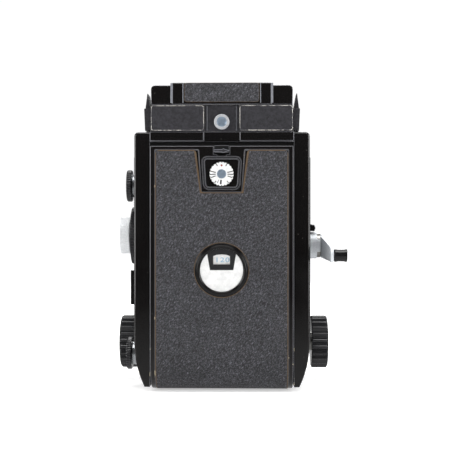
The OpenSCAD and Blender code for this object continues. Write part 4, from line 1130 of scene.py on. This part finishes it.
# ---------- controls on the right ----------
class CAMERA_OT_crank(bpy.types.Operator):
    """Winding crank: hub, slanting arm and a hollow-ended handle"""
    bl_idname = "camera.crank"
    bl_label = "Winding crank"

    def execute(self, context):
        shaped("crank_arm", "crank", "chrome", (pale_chrome_painted_reflection(),), width=0.3, segments=3)
        gear_low, gear_high = box("crank_gear")
        hub = (gear_low + gear_high) / 2
        # Bright caps above and below the middle of the hub, proud of its rim
        rim = box("right_side_cover")[1].x + 7.05
        for k, side in enumerate((-1, 1)):
            pts = [(6.9, rim), (6.9, rim - 2.05), (3.4, rim - 2.05), (3.4, rim)]
            cap = turned("crank_cap_%d" % k, pts, "X", (0, hub.y, hub.z), 72)
            edit(cap, "VERT")
            bpy.ops.mesh.select_all(action="SELECT")
            bpy.ops.mesh.bisect(plane_co=(0, 0, (hub.z + side * 3.6) * MM), plane_no=(0, 0, side),
                                use_fill=True, clear_inner=True)
            leave()
            rounded(cap, 0.15)
            dress(cap, turned_steel())
            belongs(cap, "crank", "bright_steel")
        low, high = box("crank_handle")
        cy, cz, r = (low.y + high.y) / 2, (low.z + high.z) / 2, (high.z - low.z) / 2
        a, b = low.x, high.x
        profile = [(1.26, a), (r - 0.7, a), (r - 0.2, a + 0.35), (r - 0.05, a + 0.9), (r - 0.35, a + 2.4),
                   (r - 0.3, b - 1.6), (r, b - 0.7), (r - 0.1, b - 0.15), (r - 0.45, b), (r - 0.9, b - 0.15),
                   (1.9, b - 0.9), (0, b - 1.05), (0, b - 1.2), (1.26, b - 1.2)]
        grip = turned("crank_grip", profile, "X", (0, cy, cz), 64)
        smooth(grip, 45)
        dress(grip, black_plastic())
        belongs(grip, "crank_handle", "black_plastic", "crank_handle")
        for node in ("crank_gear", "takeup_drive"):
            dress(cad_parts[node], machined_brass())
        return {"FINISHED"}


class CAMERA_OT_counter(bpy.types.Operator):
    """Frame counter: hooded housing and numbered dial"""
    bl_idname = "camera.counter"
    bl_label = "Frame counter"

    def execute(self, context):
        shaped("counter_housing", "body", "black_enamel", (gloss_enamel(), worn_enamel()), width=0.4, segments=3)
        dress(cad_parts["counter_dial"], ivory_plastic())
        return {"FINISHED"}


class CAMERA_OT_focus(bpy.types.Operator):
    """Focusing shaft, its deeply ribbed knobs and the racks"""
    bl_idname = "camera.focus"
    bl_label = "Focusing"

    def execute(self, context):
        ribs = size().focus_ribs
        low, high = box("focus_knobs")
        cy, cz, r = (low.y + high.y) / 2, (low.z + high.z) / 2, (high.z - low.z) / 2
        out, inner = high.x, box("focus_shaft")[1].x
        outline = [(0, out - 1.5), (3.0, out - 1.5), (3.2, out - 1.1), (10.5, out - 0.9), (11.0, out - 0.25),
                   (11.6, out), (r - 1.4, out), (r - 0.4, out - 0.4), (r, out - 1.2), (r, inner + 1.0),
                   (r - 0.3, inner + 0.35), (r - 1.1, inner), (0, inner)]
        for side, name in ((-1, "left"), (1, "right")):
            knob = turned("focus_knob_" + name, [(a, side * b) for a, b in outline], "X", (0, cy, cz), ribs * 10)
            span = sorted((side * (inner + 0.3), side * (out - 0.3)))
            fluted(knob, "X", (0, cy, cz), r - 1.3, ribs, 1.45, flat=1.1, span=span)
            smooth(knob, 34)
            dress(knob, ribbed_phenolic())
            belongs(knob, "focus_shaft", "black_plastic", "focus_knobs")
        dress(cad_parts["focus_shaft"], turned_steel())
        dress(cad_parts["focus_racks"], turned_steel())
        return {"FINISHED"}


# ---------- front ----------
class CAMERA_OT_standard(bpy.types.Operator):
    """Front standard, lens board and the sprung lens wire"""
    bl_idname = "camera.standard"
    bl_label = "Front standard"

    def execute(self, context):
        shaped("front_standard", "front_standard", "black_casting", (cast_paint(), worn_enamel()), width=0.5,
               segments=3)
        shaped("lens_board", "front_standard", "black_casting", (cast_paint(), worn_enamel()), width=0.4, segments=3)
        dress(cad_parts["lens_wire"], satin_chrome())
        return {"FINISHED"}


class CAMERA_OT_lenses(bpy.types.Operator):
    """Viewing and taking lenses with their domed glasses, rings and cocking lever"""
    bl_idname = "camera.lenses"
    bl_label = "Lenses"

    def execute(self, context):
        shaped("viewing_barrel", "front_standard", "lens_black", (satin_black(), rubbed_paint()), width=0.25)
        shaped("shutter_housing", "front_standard", "lens_black", (satin_black(), rubbed_paint()), width=0.25)
        for node, ribs, material, slot in (("speed_ring", 60, grey_ring(), "ring_metal"),
                                           ("aperture_ring", 48, satin_black(), "lens_black")):
            low, high = box(node)
            cz, r = (low.z + high.z) / 2, (high.z - low.z) / 2
            points = [v.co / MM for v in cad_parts[node].data.vertices]
            inside = min(math.hypot(p.x, p.z - cz) for p in points)
            a, b = low.y, high.y
            outline = [(inside, a), (r - 0.3, a), (r, a + 0.3), (r, b - 0.3), (r - 0.3, b), (inside, b)]
            ring = turned(node + "_knurled", outline, "Y", (0, 0, cz), ribs * 5)
            fluted(ring, "Y", (0, 0, cz), r - 0.2, ribs, 0.4, flat=2, span=(a + 0.25, b - 0.25))
            smooth(ring, 38)
            dress(ring, material)
            belongs(ring, node, slot, node)
        shaped("cocking_lever", "cocking_lever", "chrome", (satin_chrome(),), width=0.25)
        for node in ("viewing_glass", "taking_glass"):
            pieces = []
            for k, (low, high) in enumerate(solids(node)):
                cz, r = (low.z + high.z) / 2, (high.z - low.z) / 2
                if high.y - low.y < 1:
                    continue
                bow = min(1.4, (high.y - low.y) * 0.35)
                curve = [(r * t / 8, bow * (t / 8) ** 2) for t in range(9)]
                pts = [(a, high.y - b) for a, b in curve] + [(a, low.y + b * 0.4) for a, b in reversed(curve)]
                pieces.append(turned("%s_%d" % (node, k), pts, "Y", (0, 0, cz), 72))
            glass = join(*pieces)
            glass.name = node + "_domed"
            smooth(glass, 50)
            dress(glass, coated_glass())
            belongs(glass, "front_standard", "glass", node)
            cz = (low.z + high.z) / 2
            front = box(node)[1].y
            steps = [(15.9, -0.2), (16.4, 0.1), (17.0, 0.1), (17.4, 0.7), (18.2, 0.7), (18.6, 1.4), (19.6, 1.4),
                     (20.0, 2.1), (21.4, 2.1), (21.4, 1.05), (17.2, 1.05), (17.2, -0.2)]
            ring = turned(node + "_retainer", [(a, front + b) for a, b in steps], "Y", (0, 0, cz), 96)
            smooth(ring, 30)
            dress(ring, satin_black())
            belongs(ring, "front_standard", "lens_black")
        return {"FINISHED"}


class CAMERA_OT_bellows(bpy.types.Operator):
    """Pleated bellows, built once at the length of its CAD node"""
    bl_idname = "camera.bellows"
    bl_label = "Bellows"

    def execute(self, context):
        low, high = box("bellows")
        folds, deep, shallow, play = 9, 3.1, 0.05, 0.05
        mid = (low.z + high.z) / 2
        rings = []
        for k in range(folds * 2 + 1):
            y = low.y + play + (high.y - low.y - 2 * play) * k / (folds * 2)
            rings.append((y, shallow if k % 2 == 0 else deep))
        bpy.ops.object.select_all(action="DESELECT")
        bpy.ops.mesh.primitive_circle_add(vertices=4, radius=0.01)
        obj = bpy.context.object
        obj.name = "bellows_pleats"
        y, cut = rings[0]
        corners = [(low.x + cut, low.z + cut), (high.x - cut, low.z + cut), (high.x - cut, high.z - cut),
                   (low.x + cut, high.z - cut)]
        for v, (x, z) in zip(obj.data.vertices, corners):
            v.co = Vector((x, y, z)) * MM
        edit(obj, "EDGE")
        bpy.ops.mesh.select_all(action="SELECT")
        for k in range(1, len(rings)):
            y, cut = rings[k]
            step = (y - rings[k - 1][0]) * MM
            bpy.ops.mesh.extrude_region_move(TRANSFORM_OT_translate={"value": (0, step, 0)})
            bm = bmesh.from_edit_mesh(obj.data)
            loop = [v for v in bm.verts if v.select]
            for v in loop:
                sx = 1 if v.co.x > 0 else -1
                upper = v.co.z > mid * MM
                v.co.x = sx * (high.x - cut) * MM
                v.co.z = (high.z - cut if upper else low.z + cut) * MM
            bmesh.update_edit_mesh(obj.data)
        leave()
        wall = obj.modifiers.new("wall", "SOLIDIFY")
        wall.thickness = 0.3 * MM
        wall.offset = -1
        only(obj)
        bpy.ops.object.modifier_apply(modifier="wall")
        edit(obj, "VERT")
        bpy.ops.mesh.select_all(action="SELECT")
        bpy.ops.mesh.normals_make_consistent(inside=False)
        leave()
        smooth(obj, 25)
        dress(obj, bellows_cloth())
        belongs(obj, None, "bellows_cloth", "bellows")
        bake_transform(obj)
        return {"FINISHED"}


class CAMERA_OT_release(bpy.types.Operator):
    """Shutter button in its lock ring"""
    bl_idname = "camera.release"
    bl_label = "Shutter release"

    def execute(self, context):
        low, high = box("shutter_button")
        cx, cz, r = (low.x + high.x) / 2, (low.z + high.z) / 2, (high.z - low.z) / 2
        a, b = low.y, high.y
        outline = [(0, b - 0.5), (2.2, b - 0.35), (3.2, b), (r - 0.3, b), (r, b - 0.3), (r, b - 3.8),
                   (1.6, b - 3.8), (1.6, a), (0, a)]
        button = turned("shutter_button_cap", outline, "Y", (cx, 0, cz), 64)
        smooth(button, 40)
        dress(button, satin_chrome())
        belongs(button, "shutter_button", "chrome", "shutter_button")
        shaped("release_lock", "release_lock", "black_enamel", (satin_black(), rubbed_paint()), width=0.2)
        return {"FINISHED"}


class CAMERA_OT_inside(bpy.types.Operator):
    """Film chamber, mirror, screen and small steel parts"""
    bl_idname = "camera.inside"
    bl_label = "Inside"

    def execute(self, context):
        finish = {"reflex_mirror": mirror_glass, "focusing_screen": ground_glass, "body_fasteners": turned_steel,
                  "pressure_plate": velvet_black, "pressure_spring": turned_steel,
                  "light_baffle": velvet_black, "takeup_spool": satin_black, "upper_roller": turned_steel,
                  "lower_roller": turned_steel, "takeup_pin": turned_steel, "supply_pin": turned_steel}
        for node, material in finish.items():
            dress(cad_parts[node], material())
        return {"FINISHED"}


# ---------- stage ----------
class CAMERA_OT_stage(bpy.types.Operator):
    """White floor, soft lights and the camera that looks along the lens axes"""
    bl_idname = "camera.stage"
    bl_label = "Floor, lights and view"

    def paper(self):
        """Lit white paper that fades out, where the enamel mirrors it, towards the viewer."""
        mat = bpy.data.materials.new("white_paper")
        mat.use_nodes = True
        tree = mat.node_tree
        shader = tree.nodes["Principled BSDF"]
        set_shader(shader, Roughness=0.9)
        shader.inputs["Base Color"].default_value = (0.9, 0.9, 0.9, 1)
        shader.inputs["Emission Color"].default_value = (1, 1, 1, 1)
        place = add(tree, "ShaderNodeTexCoord").outputs["Object"]
        away = add(tree, "ShaderNodeVectorMath", {"operation": "LENGTH"}, {0: place}).outputs["Value"]
        glow = add(tree, "ShaderNodeMapRange", {"interpolation_type": "SMOOTHSTEP"},
                   {"Value": away, "From Min": 0.08, "From Max": 0.5, "To Min": 0.45, "To Max": 1.05})
        tree.links.new(glow.outputs[0], shader.inputs["Emission Strength"])
        fade = add(tree, "ShaderNodeMapRange", {"interpolation_type": "SMOOTHSTEP"},
                   {"Value": away, "From Min": 0.05, "From Max": 0.9, "To Min": 0.6, "To Max": 0.0})
        dim = add(tree, "ShaderNodeEmission", sockets={"Strength": fade.outputs[0]})
        path = add(tree, "ShaderNodeLightPath")
        both = add(tree, "ShaderNodeMixShader",
                   sockets={0: path.outputs["Is Glossy Ray"], 1: shader.outputs[0], 2: dim.outputs[0]})
        tree.links.new(both.outputs[0], tree.nodes["Material Output"].inputs["Surface"])
        return mat

    def surroundings(self):
        """White behind the object, and dim where it lights or is mirrored."""
        world = bpy.data.worlds.new("studio")
        world.use_nodes = True
        tree = world.node_tree
        tree.nodes.clear()
        path = add(tree, "ShaderNodeLightPath")
        soft = add(tree, "ShaderNodeMapRange",
                   sockets={"Value": path.outputs["Is Diffuse Ray"], "To Min": 0.11, "To Max": 0.22})
        level = add(tree, "ShaderNodeMapRange",
                    sockets={"Value": path.outputs["Is Camera Ray"], "To Min": soft.outputs[0], "To Max": 1.02})
        back = add(tree, "ShaderNodeBackground",
                   sockets={"Color": (1, 1, 1, 1), "Strength": level.outputs[0]})
        add(tree, "ShaderNodeOutputWorld", sockets={"Surface": back.outputs[0]})
        return world

    def lamps(self, scene):
        """Two tall keys behind the viewer, a broad top light, a rim light each side and a fill in front."""
        target = Vector((0, -0.02, 0.085))
        lights = (("key_left", (-0.80, -0.62, 0.45), (0.26, 0.4), 1.75),
                  ("key_right", (0.80, -0.62, 0.40), (0.26, 0.4), 1.75),
                  ("top", (0, -0.14, 0.92), (0.9, 0.6), 7.0),
                  ("rim_left", (-0.62, -0.04, 0.2), (0.5, 0.45), 3.5),
                  ("rim_right", (0.62, -0.04, 0.2), (0.5, 0.45), 3.5),
                  ("front_fill", (0.1, 0.9, 0.5), (0.8, 0.6), 7.0))
        for name, place, extent, power in lights:
            lamp = bpy.data.lights.new(name, "AREA")
            lamp.shape = "RECTANGLE"
            (lamp.size, lamp.size_y), lamp.energy = extent, power
            obj = bpy.data.objects.new(name, lamp)
            scene.collection.objects.link(obj)
            obj.location = place
            obj.rotation_euler = (target - Vector(place)).to_track_quat("-Z", "Y").to_euler()

    def viewpoint(self, scene):
        data = bpy.data.cameras.new("view")
        data.lens, data.sensor_width = 88.8, 36
        data.clip_start = 0.01
        cam = bpy.data.objects.new("view", data)
        cam.location = (0.0148, -0.657, 0.091)
        cam.rotation_euler = (math.pi / 2, 0, 0.0216)
        scene.collection.objects.link(cam)
        scene.camera = cam

    def execute(self, context):
        scene = context.scene
        scene.view_settings.view_transform = "Standard"
        scene.view_settings.look = "None"
        bpy.ops.object.select_all(action="DESELECT")
        bpy.ops.mesh.primitive_plane_add(size=6, location=(0, 0, 0))
        floor = context.object
        floor.name = "floor"
        dress(floor, self.paper())
        scene.world = self.surroundings()
        self.lamps(scene)
        self.viewpoint(scene)
        return {"FINISHED"}


OPERATORS = (CAMERA_OT_covers, CAMERA_OT_casting, CAMERA_OT_door, CAMERA_OT_catch, CAMERA_OT_memo,
             CAMERA_OT_window, CAMERA_OT_finder, CAMERA_OT_hood, CAMERA_OT_spool_knobs, CAMERA_OT_lens_lock,
             CAMERA_OT_shoe, CAMERA_OT_crank, CAMERA_OT_counter, CAMERA_OT_focus, CAMERA_OT_standard,
             CAMERA_OT_lenses, CAMERA_OT_bellows, CAMERA_OT_release, CAMERA_OT_inside, CAMERA_OT_stage)


class CAMERA_PT_panel(bpy.types.Panel):
    """Sizes, colours and building steps of the camera"""
    bl_idname = "CAMERA_PT_panel"
    bl_label = "Twin lens reflex camera"
    bl_space_type = "VIEW_3D"
    bl_region_type = "UI"
    bl_category = "Camera"

    def draw(self, context):
        for group in (context.scene.camera_size, context.scene.camera_look):
            col = self.layout.column(align=True)
            for name in group.bl_rna.properties.keys():
                if name not in ("rna_type", "name"):
                    col.prop(group, name)
        for op in OPERATORS:
            self.layout.operator(op.bl_idname)


CLASSES = (CameraLook, CameraSize) + OPERATORS + (CAMERA_PT_panel,)


def register():
    for cls in CLASSES:
        bpy.utils.register_class(cls)
    bpy.types.Scene.camera_look = bpy.props.PointerProperty(type=CameraLook)
    bpy.types.Scene.camera_size = bpy.props.PointerProperty(type=CameraSize)


def unregister():
    del bpy.types.Scene.camera_size
    del bpy.types.Scene.camera_look
    for cls in reversed(CLASSES):
        bpy.utils.unregister_class(cls)


def main():
    register()
    for op in OPERATORS:
        group, name = op.bl_idname.split(".")
        getattr(getattr(bpy.ops, group), name)()


if __name__ == "__main__":
    main()
